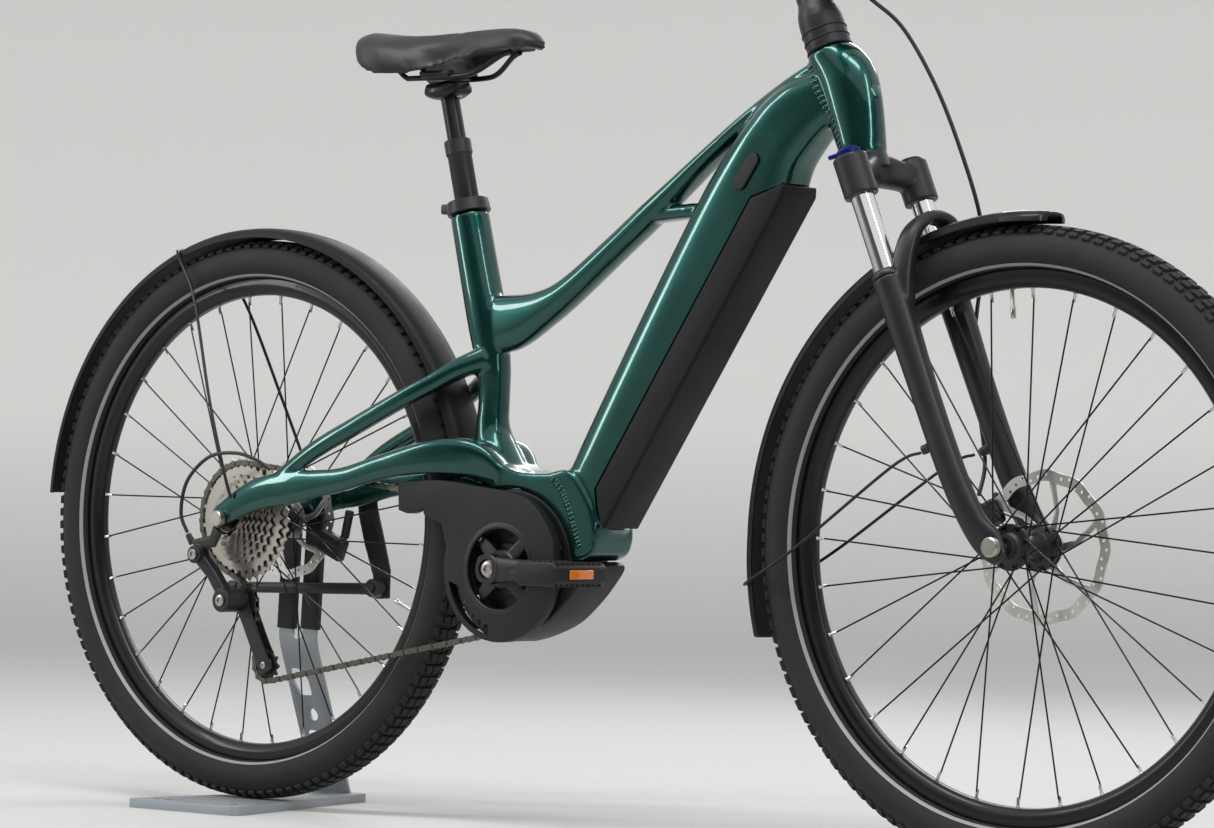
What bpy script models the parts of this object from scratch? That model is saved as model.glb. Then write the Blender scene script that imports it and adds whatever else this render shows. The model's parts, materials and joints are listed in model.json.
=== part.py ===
"""Trekking e-bike held upright by a display stand at its rear axle.

All sizes below are millimetres in the bicycle's own side view: x forward and z up from the rear
axle, y to the rider's left. finish() turns them into metres. The rear tyre rests on the stand's
steel plate and the front tyre on the ground, so the whole bicycle pitches forward by a hair.
"""

import math

import bmesh
import bpy
from mathutils import Matrix, Vector

MM = 0.001

# Driving dimensions
TYRE_RADIUS = 368.0
TYRE_HALF_WIDTH = 29.5
RIM_INNER_RADIUS = 296.0
RIM_OUTER_RADIUS = 318.0
WHEELBASE = 1213.0
HEAD_ANGLE = math.radians(67.0)
FORK_OFFSET = 45.0
BB = (469.0, -50.0)
CRANK_LENGTH = 170.0
SEAT_ANGLE = math.radians(75.5)
SEAT_POINT = (332.0, 481.0)
FENDER_RADIUS = 384.0
FENDER_HALF_WIDTH = 30.0
SPOKES = 32
REAR_SPOKE_PHASE = math.radians(186.2)
FRONT_SPOKE_PHASE = math.radians(168.4)
STANCHION_OFFSET = 18.5
STANCHION_SPACING = 60.0
STANCHION_RADIUS = 14.0
CHAINRING_RADIUS = 77.0
DRIVEN_COG_RADIUS = 74.0
PULLEY_RADIUS = 21.0
GUIDE_PULLEY = (6.0, -107.0)
TENSION_PULLEY = (52.0, -190.0)
REAR_CHAIN_Y = -34.0
FRONT_CHAIN_Y = -50.0
PLATE_THICKNESS = 12.0
FIT_GAP = 0.35

# Down tube: its centre line climbs at this angle and lies this far from the rear axle
DOWN_ANGLE = math.radians(57.0)
DOWN_REAR = 435.5
DOWN_SPLIT = 474.5
DOWN_FRONT = 515.0

FINISHES = {
    "teal_paint": (0x005F55, 0.75, 0.22),
    "black_satin": (0x1B1C1E, 0.3, 0.45),
    "black_gloss": (0x0C0D0E, 0.5, 0.2),
    "black_plastic": (0x1E1F21, 0.0, 0.55),
    "grey_plastic": (0x6C6F76, 0.0, 0.5),
    "rubber": (0x171717, 0.0, 0.8),
    "chrome": (0xD5D8DC, 1.0, 0.08),
    "steel": (0xA9A6A0, 1.0, 0.35),
    "zinc": (0x8C9298, 0.8, 0.45),
    "blue_knob": (0x1D2F8A, 0.3, 0.35),
}


# ---------------------------------------------------------------- small geometry tools
def head_point(ahead, along, y=0.0):
    """Point given by its distance ahead of the steering axis and its height along that axis."""
    cos_h, sin_h = math.cos(HEAD_ANGLE), math.sin(HEAD_ANGLE)
    foot_x = WHEELBASE - FORK_OFFSET * sin_h
    foot_z = -FORK_OFFSET * cos_h
    return (foot_x + ahead * sin_h - along * cos_h, y, foot_z + ahead * cos_h + along * sin_h)


def down_point(along, out, y=0.0):
    """Point in the down tube's own directions: along its length and out towards the front wheel."""
    cos_d, sin_d = math.cos(DOWN_ANGLE), math.sin(DOWN_ANGLE)
    return (along * cos_d + out * sin_d, y, along * sin_d - out * cos_d)


def seat_point(z):
    """Point on the seat post's axis at a height."""
    return (SEAT_POINT[0] - (z - SEAT_POINT[1]) / math.tan(SEAT_ANGLE), 0.0, z)


def polar(centre, radius, degrees, y=0.0):
    """Point on a circle that lies in the side view."""
    angle = math.radians(degrees)
    return (centre[0] + radius * math.cos(angle), y, centre[1] + radius * math.sin(angle))


def flat_arc(centre, radius, start, end, steps):
    """Outline points (x, z) along an arc, both ends included."""
    points = [polar(centre, radius, start + (end - start) * i / steps) for i in range(steps + 1)]
    return [(x, z) for x, _, z in points]


def smooth_path(points, per_span):
    """Catmull-Rom curve through tuples of any length."""
    count = len(points)
    result = []
    for i in range(count - 1):
        p0, p1 = points[max(i - 1, 0)], points[i]
        p2, p3 = points[i + 1], points[min(i + 2, count - 1)]
        for step in range(per_span):
            t = step / per_span
            result.append(tuple(
                0.5 * (2 * b + (c - a) * t + (2 * a - 5 * b + 4 * c - d) * t * t
                       + (3 * b - 3 * c + d - a) * t ** 3)
                for a, b, c, d in zip(p0, p1, p2, p3)
            ))
    result.append(tuple(points[-1]))
    return result


def to_object(bm, name="shape"):
    """Turns a bmesh into a working object with outward faces."""
    bmesh.ops.recalc_face_normals(bm, faces=bm.faces)
    mesh = bpy.data.meshes.new(name)
    bm.to_mesh(mesh)
    bm.free()
    obj = bpy.data.objects.new(name, mesh)
    bpy.context.collection.objects.link(obj)
    return obj


def loft(rings):
    """Closed solid through rings that have the same number of points."""
    bm = bmesh.new()
    loops = []
    for ring in rings:
        verts = [bm.verts.new(p) for p in ring]
        loops.append([bm.edges.new((verts[i - 1], verts[i])) for i in range(len(verts))])
    for low, high in zip(loops, loops[1:]):
        bmesh.ops.bridge_loops(bm, edges=low + high)
    bmesh.ops.holes_fill(bm, edges=bm.edges[:], sides=0)
    return to_object(bm)


def sweep(path, power=2.0, count=12, side=(0, 1, 0)):
    """Tube through stations (x, y, z, half size along side, half size across it)."""
    side = Vector(side)
    rings = []
    for i, station in enumerate(path):
        before, after = path[max(i - 1, 0)], path[min(i + 1, len(path) - 1)]
        tangent = (Vector(after[:3]) - Vector(before[:3])).normalized()
        across = tangent.cross(side).normalized()
        flank = across.cross(tangent)
        ring = []
        for k in range(count):
            angle = 2 * math.pi * (k + 0.5) / count
            c, s = math.cos(angle), math.sin(angle)
            a = station[3] * math.copysign(abs(c) ** (2 / power), c)
            b = station[4] * math.copysign(abs(s) ** (2 / power), s)
            ring.append(Vector(station[:3]) + flank * a + across * b)
        rings.append(ring)
    return loft(rings)


def rod(start, end, radius, count=12, end_radius=None):
    """Straight round bar between two points."""
    start, end = Vector(start), Vector(end)
    direction = (end - start).normalized()
    side = Vector((0, 1, 0)) if abs(direction.y) < 0.9 else Vector((1, 0, 0))
    tip = radius if end_radius is None else end_radius
    path = [(*start, radius, radius), (*end, tip, tip)]
    return sweep(path, count=count, side=side)


def turned(profile, centre=(0.0, 0.0, 0.0), direction=(0, 1, 0), count=24, is_ring=True, phase=0.0):
    """Solid of revolution from (radius, height) points, spun round an axis through centre."""
    axis = Vector(direction).normalized()
    helper = Vector((1, 0, 0)) if abs(axis.x) < 0.9 else Vector((0, 0, 1))
    out = (helper - axis * helper.dot(axis)).normalized()
    out.rotate(Matrix.Rotation(phase, 3, axis))
    bm = bmesh.new()
    verts = [bm.verts.new(Vector(centre) + out * r + axis * h) for r, h in profile]
    edges = [bm.edges.new(pair) for pair in zip(verts, verts[1:])]
    if is_ring:
        edges.append(bm.edges.new((verts[-1], verts[0])))
    bmesh.ops.spin(bm, geom=verts + edges, cent=centre, axis=axis, angle=2 * math.pi, steps=count,
                   use_merge=False, use_duplicate=False)
    bmesh.ops.remove_doubles(bm, verts=bm.verts[:], dist=0.01)
    return to_object(bm)


def prism(outline, low, high, bevel=0.0, bevel_segments=1):
    """Plate with a side-view outline (x, z), from y = low to y = high."""
    bm = bmesh.new()
    face = bm.faces.new([bm.verts.new((x, low, z)) for x, z in outline])
    extruded = bmesh.ops.extrude_face_region(bm, geom=[face])
    moved = [v for v in extruded["geom"] if isinstance(v, bmesh.types.BMVert)]
    bmesh.ops.translate(bm, verts=moved, vec=(0, high - low, 0))
    if bevel:
        rims = [e for e in bm.edges if abs(e.verts[0].co.y - e.verts[1].co.y) < 0.01]
        bmesh.ops.bevel(bm, geom=rims, offset=bevel, segments=bevel_segments, affect="EDGES",
                        clamp_overlap=True)
    return to_object(bm)


def block(size, location, rotation=None, bevel=0.0):
    """Box of full sizes, turned by a matrix about its centre and then placed."""
    bm = bmesh.new()
    bmesh.ops.create_cube(bm, size=1.0)
    bmesh.ops.scale(bm, vec=size, verts=bm.verts)
    if bevel:
        bmesh.ops.bevel(bm, geom=bm.edges[:], offset=bevel, segments=1, affect="EDGES")
    turn = rotation.to_4x4() if rotation else Matrix.Identity(4)
    bmesh.ops.transform(bm, matrix=Matrix.Translation(location) @ turn, verts=bm.verts)
    return to_object(bm)


def boolean(target, tool, operation):
    """Applies one exact Boolean and deletes the tool."""
    modifier = target.modifiers.new("boolean", "BOOLEAN")
    modifier.operation = operation
    modifier.object = tool
    modifier.solver = "EXACT"
    graph = bpy.context.evaluated_depsgraph_get()
    mesh = bpy.data.meshes.new_from_object(target.evaluated_get(graph))
    target.modifiers.clear()
    target.data = mesh
    bpy.data.objects.remove(tool)
    return target


def union(target, *others):
    for other in others:
        boolean(target, other, "UNION")
    return target


def cut(target, *cutters):
    for cutter in cutters:
        boolean(target, cutter, "DIFFERENCE")
    return target


def group(objects):
    """Joins shapes that don't touch into one tool, without a Boolean."""
    bm = bmesh.new()
    for obj in objects:
        bm.from_mesh(obj.data)
        bpy.data.objects.remove(obj)
    return to_object(bm)


def mirrored(obj):
    """Copy of a shape on the bicycle's other side."""
    bm = bmesh.new()
    bm.from_mesh(obj.data)
    bmesh.ops.scale(bm, vec=(1, -1, 1), verts=bm.verts)
    return to_object(bm)


def hose(points, radius, per_span, resolution=1):
    """Round tube as a beveled curve with filled caps."""
    curve = bpy.data.curves.new("hose", "CURVE")
    curve.dimensions = "3D"
    curve.bevel_depth = radius
    curve.bevel_resolution = resolution
    curve.use_fill_caps = True
    spline = curve.splines.new("POLY")
    route = smooth_path(points, per_span)
    spline.points.add(len(route) - 1)
    for point, place in zip(spline.points, route):
        point.co = (*place, 1.0)
    obj = bpy.data.objects.new("hose", curve)
    bpy.context.collection.objects.link(obj)
    graph = bpy.context.evaluated_depsgraph_get()
    mesh = bpy.data.meshes.new_from_object(obj.evaluated_get(graph))
    bpy.data.objects.remove(obj)
    bm = bmesh.new()
    bm.from_mesh(mesh)
    bmesh.ops.remove_doubles(bm, verts=bm.verts[:], dist=0.01)
    return to_object(bm)


# ---------------------------------------------------------------- bodies and finishing
BODY_PIVOTS = {
    "stand": (0.0, 0.0, -TYRE_RADIUS - PLATE_THICKNESS),
    "frame": (0.0, 0.0, 0.0),
    "rear_wheel": (0.0, 0.0, 0.0),
    "cassette": (0.0, 0.0, 0.0),
    "crank": (BB[0], 0.0, BB[1]),
    "pedal_right": (BB[0] + CRANK_LENGTH, -90.0, BB[1]),
    "pedal_left": (BB[0] - CRANK_LENGTH, 90.0, BB[1]),
    "guide_pulley": (GUIDE_PULLEY[0], REAR_CHAIN_Y, GUIDE_PULLEY[1]),
    "tension_pulley": (TENSION_PULLEY[0], REAR_CHAIN_Y, TENSION_PULLEY[1]),
    "battery": down_point(338.0, 512.0),
    "charge_port": (808.5, -35.0, 415.5),
    "kickstand": (150.0, 63.0, -86.0),
    "saddle_post": seat_point(520.0),
    "fork": head_point(0.0, 519.0),
    "fork_lower": head_point(0.0, 340.0),
    "front_wheel": (WHEELBASE, 0.0, 0.0),
    "brake_lever_right": head_point(104.0, 733.0, -188.0),
    "brake_lever_left": head_point(104.0, 733.0, 188.0),
    "shift_lever": head_point(84.0, 712.0, -168.0),
    "assist_button": head_point(69.0, 757.0, 156.0),
    "lockout": head_point(STANCHION_OFFSET, 500.0, -STANCHION_SPACING),
}
PITCH = math.asin(PLATE_THICKNESS / WHEELBASE)
finished = []
body_empties = {}
materials = {}


def bike_to_ground():
    """Places the bicycle's side view over the ground, rear tyre on the plate."""
    height = TYRE_RADIUS + PLATE_THICKNESS
    return Matrix.Translation((0, 0, height)) @ Matrix.Rotation(PITCH, 4, "Y")


def body_matrix(body):
    if body == "stand":
        return Matrix.Translation((0, 0, TYRE_RADIUS + PLATE_THICKNESS))
    return bike_to_ground()


def material(name):
    if name not in materials:
        colour, metallic, roughness = FINISHES[name]
        made = bpy.data.materials.new(name)
        made.use_nodes = True
        shader = made.node_tree.nodes["Principled BSDF"]
        channels = [((colour >> shift) & 255) / 255 for shift in (16, 8, 0)]
        shader.inputs["Base Color"].default_value = (*[c ** 2.2 for c in channels], 1.0)
        shader.inputs["Metallic"].default_value = metallic
        shader.inputs["Roughness"].default_value = roughness
        materials[name] = made
    return materials[name]


def body_empty(body):
    """Empty on the body's joint axis, the parent of its pieces."""
    if body not in body_empties:
        empty = bpy.data.objects.new(f"joint_{body}", None)
        empty.location = body_matrix(body) @ Vector(BODY_PIVOTS[body]) * MM
        bpy.context.collection.objects.link(empty)
        body_empties[body] = empty
    return body_empties[body]


def finish(obj, name, finish_name, body):
    """Names a shape, gives it its finish and hangs it on its body, in metres."""
    empty = body_empty(body)
    place = Matrix.Scale(MM, 4) @ body_matrix(body)
    obj.data.transform(Matrix.Translation(-empty.location) @ place)
    obj.name = obj.data.name = name
    obj.data.materials.clear()
    obj.data.materials.append(material(finish_name))
    obj.data.shade_smooth()
    obj.data.set_sharp_from_angle(angle=math.radians(35))
    obj.parent = empty
    finished.append(obj)
    return obj


def centre_on_ground():
    """Moves the bodies so that the origin lies under the middle of the whole object."""
    bpy.context.view_layer.update()
    corners = [o.matrix_world @ Vector(c) for o in finished for c in o.bound_box]
    middle = [(min(c[i] for c in corners) + max(c[i] for c in corners)) / 2 for i in (0, 1)]
    for empty in body_empties.values():
        empty.location -= Vector((middle[0], middle[1], 0.0))


# ---------------------------------------------------------------- wheels
def ring_profile(half):
    """Closed profile from its half on the positive side of the wheel plane."""
    return half + [(r, -h) for r, h in reversed(half)]


def make_tyre(name, body, x):
    half = [(TYRE_RADIUS, 11.0), (TYRE_RADIUS - 11, 26.0), (TYRE_RADIUS - 26, TYRE_HALF_WIDTH),
            (318.5, 12.0), (318.4, 9.9), (311.5, 9.3), (311.5, 6.0), (342.0, 24.5), (TYRE_RADIUS - 8, 10.0)]
    shape = turned(ring_profile(half), (x, 0, 0), count=32)
    finish(shape, name, "rubber", body)


def make_rim(name, body, x):
    half = [(RIM_INNER_RADIUS, 7.0), (303.0, 12.5), (RIM_OUTER_RADIUS, 12.5),
            (RIM_OUTER_RADIUS, 10.6), (309.0, 9.8)]
    shape = turned(ring_profile(half), (x, 0, 0), count=32)
    finish(shape, name, "black_gloss", body)


def make_spokes(name, body, x, phase, barrel, flange_y, flange_radius):
    """Hub shell with its crossed spokes; heads sit alternately inside and outside the flanges."""
    hub = turned(barrel, (x, 0, 0), count=14)
    spokes = []
    lacing = math.radians(62.0)
    for i in range(SPOKES):
        side = 1 if i % 2 else -1
        trailing = 1 if (i // 2) % 2 else -1
        rim_angle = phase - i * 2 * math.pi / SPOKES
        hub_angle = rim_angle + trailing * lacing
        head_y = side * (abs(flange_y[0 if side < 0 else 1]) + trailing * 2.6)
        inner = (x + flange_radius * math.cos(hub_angle), head_y, flange_radius * math.sin(hub_angle))
        reach = RIM_INNER_RADIUS - 2.2
        outer = (x + reach * math.cos(rim_angle), side * 2.0, reach * math.sin(rim_angle))
        spokes.append(rod(inner, outer, 1.4, count=3))
    union(hub, group(spokes))
    finish(hub, name, "black_satin", body)


def make_rotor(name, body, x, y, radius, hub_radius):
    ring = turned([(radius, -0.9), (radius, 0.9), (radius - 14, 0.9), (radius - 14, -0.9)],
                  (x, y, 0), count=28)
    spider = turned([(hub_radius, -1.4), (hub_radius, 1.4), (26.0, 1.4), (26.0, -1.4)],
                    (x, y, 0), count=16)
    union(ring, spider)
    for i in range(6):
        start = polar((x, 0), 24.0, i * 60.0, y)
        end = polar((x, 0), radius - 10, i * 60.0 + 24.0, y)
        arm = sweep([(*start, 0.8, 4.5), (*end, 0.8, 3.5)], power=6, count=4)
        union(ring, arm)
    finish(ring, name, "steel", body)


def make_rear_wheel():
    make_tyre("rear_tyre", "rear_wheel", 0.0)
    make_rim("rear_rim", "rear_wheel", 0.0)
    barrel = [(6.4, -27.0), (31.0, -27.0), (31.0, -23.0), (17.0, -20.0), (17.0, 26.0),
              (31.0, 29.0), (31.0, 33.0), (17.0, 35.0), (17.0, 61.0), (11.0, 61.0), (11.0, 65.0),
              (6.4, 65.0)]
    make_spokes("rear_hub_and_spokes", "rear_wheel", 0.0, REAR_SPOKE_PHASE, barrel, (-25, 31), 27.0)
    make_rotor("rear_rotor", "rear_wheel", 0.0, 56.0, 80.0, 17.5)


def make_front_wheel():
    make_tyre("front_tyre", "front_wheel", WHEELBASE)
    make_rim("front_rim", "front_wheel", WHEELBASE)
    barrel = [(6.4, -44.0), (12.0, -44.0), (15.0, -34.0), (27.0, -33.0), (27.0, -29.0),
              (14.0, -26.0), (14.0, 22.0), (27.0, 25.0), (27.0, 29.0), (17.0, 31.0), (17.0, 42.0),
              (12.0, 44.0), (6.4, 44.0)]
    make_spokes("front_hub_and_spokes", "front_wheel", WHEELBASE, FRONT_SPOKE_PHASE, barrel,
                (-31, 27), 23.0)
    make_rotor("front_rotor", "front_wheel", WHEELBASE, 38.0, 90.0, 17.5)


def make_cassette():
    """Nine steps of cogs, largest beside the spokes; each stops at the chain's roller line."""
    radii = [82.0, 69.5, 59.0, 51.0, 44.0, 38.0, 33.0, 28.5, 24.5]
    pitch = 4.0
    inner_face = REAR_CHAIN_Y + 3.2
    profile = [(18.5, inner_face + 1.2), (radii[0], inner_face + 1.2)]
    for i, radius in enumerate(radii):
        if i:
            profile.append((radius, inner_face - pitch * (i - 1)))
        profile.append((radius, inner_face - pitch * i))
    profile.append((18.5, inner_face - pitch * (len(radii) - 1)))
    shape = turned(profile, count=20)
    finish(shape, "cassette", "steel", "cassette")


# ---------------------------------------------------------------- main frame
def frame_member(stations, count=12, power=2.6, per_span=1):
    return sweep(smooth_path(stations, per_span), power=power, count=count)


def make_main_frame():
    """One welded frame: tubes, motor cradle, stays and dropouts, with its bores cut last."""
    head = []
    for along, rear, front, half in ((519, 27, 29, 27.5), (524, 27, 29, 27.5), (545, 27.5, 37, 28),
                                     (572, 27.5, 44, 28.5), (600, 27.5, 48, 28.5), (620, 27.5, 42, 28),
                                     (640, 27.5, 28, 27.5), (648, 27.5, 28, 27.5)):
        middle = head_point((front - rear) / 2, along)
        head.append((*middle, half, (front + rear) / 2))
    frame = sweep(head, power=2.2, count=16)

    down = [(*down_point(322, 466), 30, 33), (*down_point(350, 468), 34, 47),
            (*down_point(520, 462), 34, 53), (*down_point(700, 458), 34, 57),
            (*down_point(790, 458), 34, 57), (846, 0, 466, 33.5, 47), (882, 0, 502, 31, 42),
            (925, 0, 525, 27, 32)]
    down_tube = frame_member(down, count=16, power=4.0)
    top = [(384, 0, 258, 17, 34), (430, 0, 258, 18, 36), (485, 0, 276, 18.5, 24),
           (531, 0, 301, 18.5, 18), (604, 0, 354, 18.5, 16), (655, 0, 392, 19, 15.5),
           (700, 0, 426, 20, 13), (745, 0, 460, 20.5, 10.5), (800, 0, 498, 21, 10.5),
           (868, 0, 538, 21, 12), (930, 0, 566, 20, 14)]
    top_tube = frame_member(top, count=12)
    strut = frame_member([(650, 0, 387, 15, 9), (695, 0, 391.5, 16, 9.5), (735, 0, 394, 16, 10),
                          (775, 0, 396, 15, 11)], count=12)
    seat = [(*seat_point(396.4), 23.5, 24), (*seat_point(330), 24, 24.5), (*seat_point(262), 24, 25),
            (401, 0, 205, 22, 21), (404, 0, 165, 20, 18.5), (403, 0, 128, 22, 19.5),
            (410, 0, 98, 28, 25), (428, 0, 66, 33, 26)]
    seat_tube = frame_member(seat, count=14, power=2.3, per_span=2)
    for member in (down_tube, top_tube, strut, seat_tube):
        union(frame, member)

    inner = flat_arc(BB, 100.4, 7.5, 140, 12)
    outer = [(382, 40), (386, 78), (402, 100), (430, 88), (474, 72), (520, 70), (560, 74), (592, 40),
             (606, 4), (602, -24), (586, -36)]
    cradle = prism(inner + outer, -38, 38, bevel=6.0)
    union(frame, cradle)

    chainstay = [(-12, -71, 0, 5, 13), (14, -71, 13, 5.5, 17), (60, -71, 33, 6.5, 21),
                 (118, -70, 43, 7.5, 22), (160, -68, 49, 8.5, 18), (210, -66, 56, 9.5, 15.5),
                 (270, -63, 72, 11, 16), (330, -58, 84, 13, 20), (376, -49, 89, 14.5, 24),
                 (412, -38, 86, 16, 26), (446, -27, 70, 17, 22)]
    seatstay = [(92, -70, 50, 6, 10), (156, -67, 92, 8, 9.5), (225, -64, 126, 9, 9),
                (297, -57, 161, 9.5, 9), (338, -46, 181, 10, 10), (372, -30, 200, 13, 13),
                (402, -12, 214, 14, 16)]
    for stations, shape_power in ((chainstay, 3.0), (seatstay, 2.6)):
        right = frame_member(stations, count=12, power=shape_power)
        left = mirrored(right)
        union(frame, right, left)

    steerer_bore = rod(head_point(0, 500), head_point(0, 670), 19.0, 20)
    post_top, post_foot = Vector(seat_point(430)), Vector(seat_point(255))
    post_bore = rod(post_top, post_foot, 15.9, 20)
    axle_bore = rod((0, -90, 0), (0, 90, 0), 6.5, 12)
    cut(frame, steerer_bore, post_bore, axle_bore)

    turn = Matrix.Rotation(-DOWN_ANGLE, 3, "Y")
    cover_room = [down_point(a, o) for a, o in ((371, DOWN_SPLIT - 0.4), (350.5, 491.6),
                                                (336.5, 507.6), (336.5, 560), (845, 560), (836, DOWN_FRONT - 5),
                                                (793, DOWN_SPLIT - 0.4))]
    cut(frame, prism([(x, z) for x, _, z in cover_room], -60, 60))
    pocket_middle = down_point(582, 466)
    cut(frame, block((402, 52, 33), pocket_middle, turn))
    finish(frame, "main_frame", "teal_paint", "frame")


def make_battery():
    """Battery pack, half in the tube's channel, and the cover that fills out the tube."""
    turn = Matrix.Rotation(-DOWN_ANGLE, 3, "Y")
    outline = [down_point(a, o) for a, o in ((372.5, DOWN_SPLIT), (352, 492), (338, 508), (338, 515),
                                             (820, 515), (832, 508), (792, DOWN_SPLIT))]
    cover = prism([(x, z) for x, _, z in outline], -34, 34, bevel=5.0, bevel_segments=2)
    cut(cover, block((396, 50.6, 42), down_point(582, 477), turn))
    finish(cover, "battery_cover", "black_plastic", "battery")
    pack = block((394, 48, 42), down_point(582, 475.6), turn, bevel=3.0)
    finish(pack, "battery_pack", "black_plastic", "battery")


def make_charge_cap():
    side = 34.4
    low, high = Vector((814, 0, 423)), Vector((834, 0, 450))
    along = (high - low).normalized()
    across = Vector((along.z, 0, -along.x))
    outline = []
    for centre, radius, start in ((high, 8.0, 0.0), (low, 9.0, math.pi)):
        for i in range(7):
            angle = start + math.pi * i / 6
            p = centre + across * radius * math.cos(angle) + along * radius * math.sin(angle)
            outline.append((p.x, p.z))
    cap = prism(outline, -side - 3.6, -side, bevel=1.2)
    finish(cap, "charge_port_cap", "rubber", "charge_port")


# ---------------------------------------------------------------- motor, crank and chain
def make_motor():
    low = flat_arc(BB, 92, 150, 262, 10)
    top = flat_arc(BB, 99.6, 6, 138, 12)
    nose = [(487, -133), (527, -116), (557, -92), (580, -68), (596, -45), (584, -37.5)]
    housing = prism(low + nose + top, -36, 36, bevel=5.0)
    boss = rod((BB[0], -41, BB[1]), (BB[0], 46, BB[1]), 34, 24)
    union(housing, boss)
    cut(housing, rod((BB[0], -70, BB[1]), (BB[0], 70, BB[1]), 12.6, 20))
    finish(housing, "motor_housing", "black_satin", "frame")


def make_chain_guard():
    """Dished guard over the chainring, with a tail that covers the upper run of chain."""
    top = [(297, 54), (367, 58), (434, 51), (484, 45), (514, 36), (541, 13), (556, -18)]
    circle = flat_arc(BB, 91, 0, -196, 16)
    tail = [(372, 4), (343, 14), (341, 23), (318, 15), (299, 19)]
    guard = prism(top + circle + tail, -59, -44, bevel=2.0)
    ring_room = turned([(6, -56.8), (86, -56.8), (86, -40), (6, -40)], (BB[0], 0, BB[1]), count=28)
    run_room = prism([(285, 30), (285, 52), (367, 55.6), (434, 48.6), (484, 42.6), (506, 30),
                      (469, 10), (420, 8), (352, 26)], -56.8, -40)
    low_room = prism([(300, -150), (300, -178), (462, -142), (462, -120)], -56.8, -40)
    opening = rod((BB[0], -70, BB[1]), (BB[0], -30, BB[1]), 50.5, 24)
    cut(guard, ring_room, run_room, low_room, opening)
    finish(guard, "chain_guard", "black_plastic", "frame")


def make_crank():
    axle = rod((BB[0], -78, BB[1]), (BB[0], 78, BB[1]), 12.0, 20)
    finish(axle, "crank_axle", "steel", "crank")
    for side, name in ((-1, "right"), (1, "left")):
        tip = BB[0] - side * CRANK_LENGTH
        arm = sweep([(BB[0] + side * 14, side * 74, BB[1], 6.5, 16),
                     (BB[0] - side * 40, side * 75, BB[1], 6.5, 14),
                     (tip + side * 30, side * 79, BB[1], 6.0, 12.5),
                     (tip - side * 12, side * 80, BB[1], 6.0, 11)],
                    power=3.5, count=8)
        boss = rod((BB[0], side * 64, BB[1]), (BB[0], side * 82, BB[1]), 19, 16)
        union(arm, boss)
        cut(arm, rod((BB[0], -90, BB[1]), (BB[0], 90, BB[1]), 12.3, 20),
            rod((tip, side * 60, BB[1]), (tip, side * 110, BB[1]), 7.2, 12))
        finish(arm, f"crank_arm_{name}", "black_satin", "crank")
    ring = turned([(50, -51), (72.5, -51), (72.5, -49), (50, -49)], (BB[0], 0, BB[1]), count=24)
    spider = turned([(12.4, -56), (24, -56), (24, -47.5), (12.4, -47.5)], (BB[0], 0, BB[1]), count=16)
    union(ring, spider)
    for i in range(4):
        start, end = polar(BB, 20, 45 + 90 * i, -51.5), polar(BB, 56, 45 + 90 * i, -50.5)
        union(ring, sweep([(*start, 2.2, 9.5), (*end, 1.6, 7.0)], power=4, count=8))
    finish(ring, "chainring", "black_satin", "crank")


def make_pedals():
    for side, name in ((-1, "right"), (1, "left")):
        x, y = BB[0] - side * CRANK_LENGTH, side * 90.0
        outline = [(x - 33, BB[1] - 9), (x - 28, BB[1] - 14), (x + 28, BB[1] - 14), (x + 33, BB[1] - 9),
                   (x + 33, BB[1] + 9), (x + 28, BB[1] + 14), (x - 28, BB[1] + 14), (x - 33, BB[1] + 9)]
        near, far = sorted((y + side * 2, y + side * 98))
        body = prism(outline, near, far, bevel=2.0)
        for dx in (-18, 18):
            window = block((18, 60, 60), (x + dx, y + side * 50, BB[1]))
            cut(body, window)
        spindle = rod((x, side * 74.5, BB[1]), (x, y + side * 10, BB[1]), 6.8, 12)
        union(body, spindle)
        finish(body, f"pedal_{name}", "black_plastic", f"pedal_{name}")


def tangent_points(c1, r1, c2, r2, side):
    """Ends of the straight run that touches two circles on the same side."""
    dx, dz = c2[0] - c1[0], c2[1] - c1[1]
    distance = math.hypot(dx, dz)
    base = math.atan2(dz, dx)
    tilt = math.acos((r1 - r2) / distance) * side
    angle = base + tilt
    return ((c1[0] + r1 * math.cos(angle), c1[1] + r1 * math.sin(angle)),
            (c2[0] + r2 * math.cos(angle), c2[1] + r2 * math.sin(angle)), math.degrees(angle))


def wrap(centre, radius, start, end, y_from, y_to, steps):
    """Chain stations round a sprocket."""
    return [(*polar(centre, radius, start + (end - start) * i / steps,
                    y_from + (y_to - y_from) * i / steps),) for i in range(steps + 1)]


def chain_route():
    """Centre line of the closed chain: ring, upper run, cog, both pulleys, lower run."""
    cog, ring = (0.0, 0.0), BB
    big, small = CHAINRING_RADIUS, DRIVEN_COG_RADIUS
    _, _, top_angle = tangent_points(cog, small, ring, big, 1)
    guide, tension = GUIDE_PULLEY, TENSION_PULLEY
    pulley = PULLEY_RADIUS
    crossing = math.degrees(math.atan2(guide[1] - cog[1], guide[0] - cog[0]))
    tilt = math.degrees(math.acos((small + pulley) / math.hypot(*guide)))
    leave_cog = crossing - tilt
    reach_guide = leave_cog + 180
    between = math.degrees(math.atan2(tension[1] - guide[1], tension[0] - guide[0]))
    swap = math.degrees(math.acos(2 * pulley / math.dist(guide, tension)))
    leave_guide = between + swap - 0.0
    reach_tension = leave_guide + 180
    _, _, low_angle = tangent_points(tension, pulley, ring, big, -1)
    rear_y, front_y = REAR_CHAIN_Y, FRONT_CHAIN_Y
    route = wrap(cog, small, top_angle, leave_cog + 360, rear_y, rear_y, 16)
    start = reach_guide if reach_guide > leave_guide else reach_guide + 360
    route += wrap(guide, pulley, start, leave_guide, rear_y, rear_y, 6)
    end = low_angle + 360
    start = reach_tension
    while start > end:
        start -= 360
    route += wrap(tension, pulley, start, end, rear_y, rear_y, 7)
    route += wrap(ring, big, low_angle, top_angle, front_y, front_y, 14)
    return route


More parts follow.
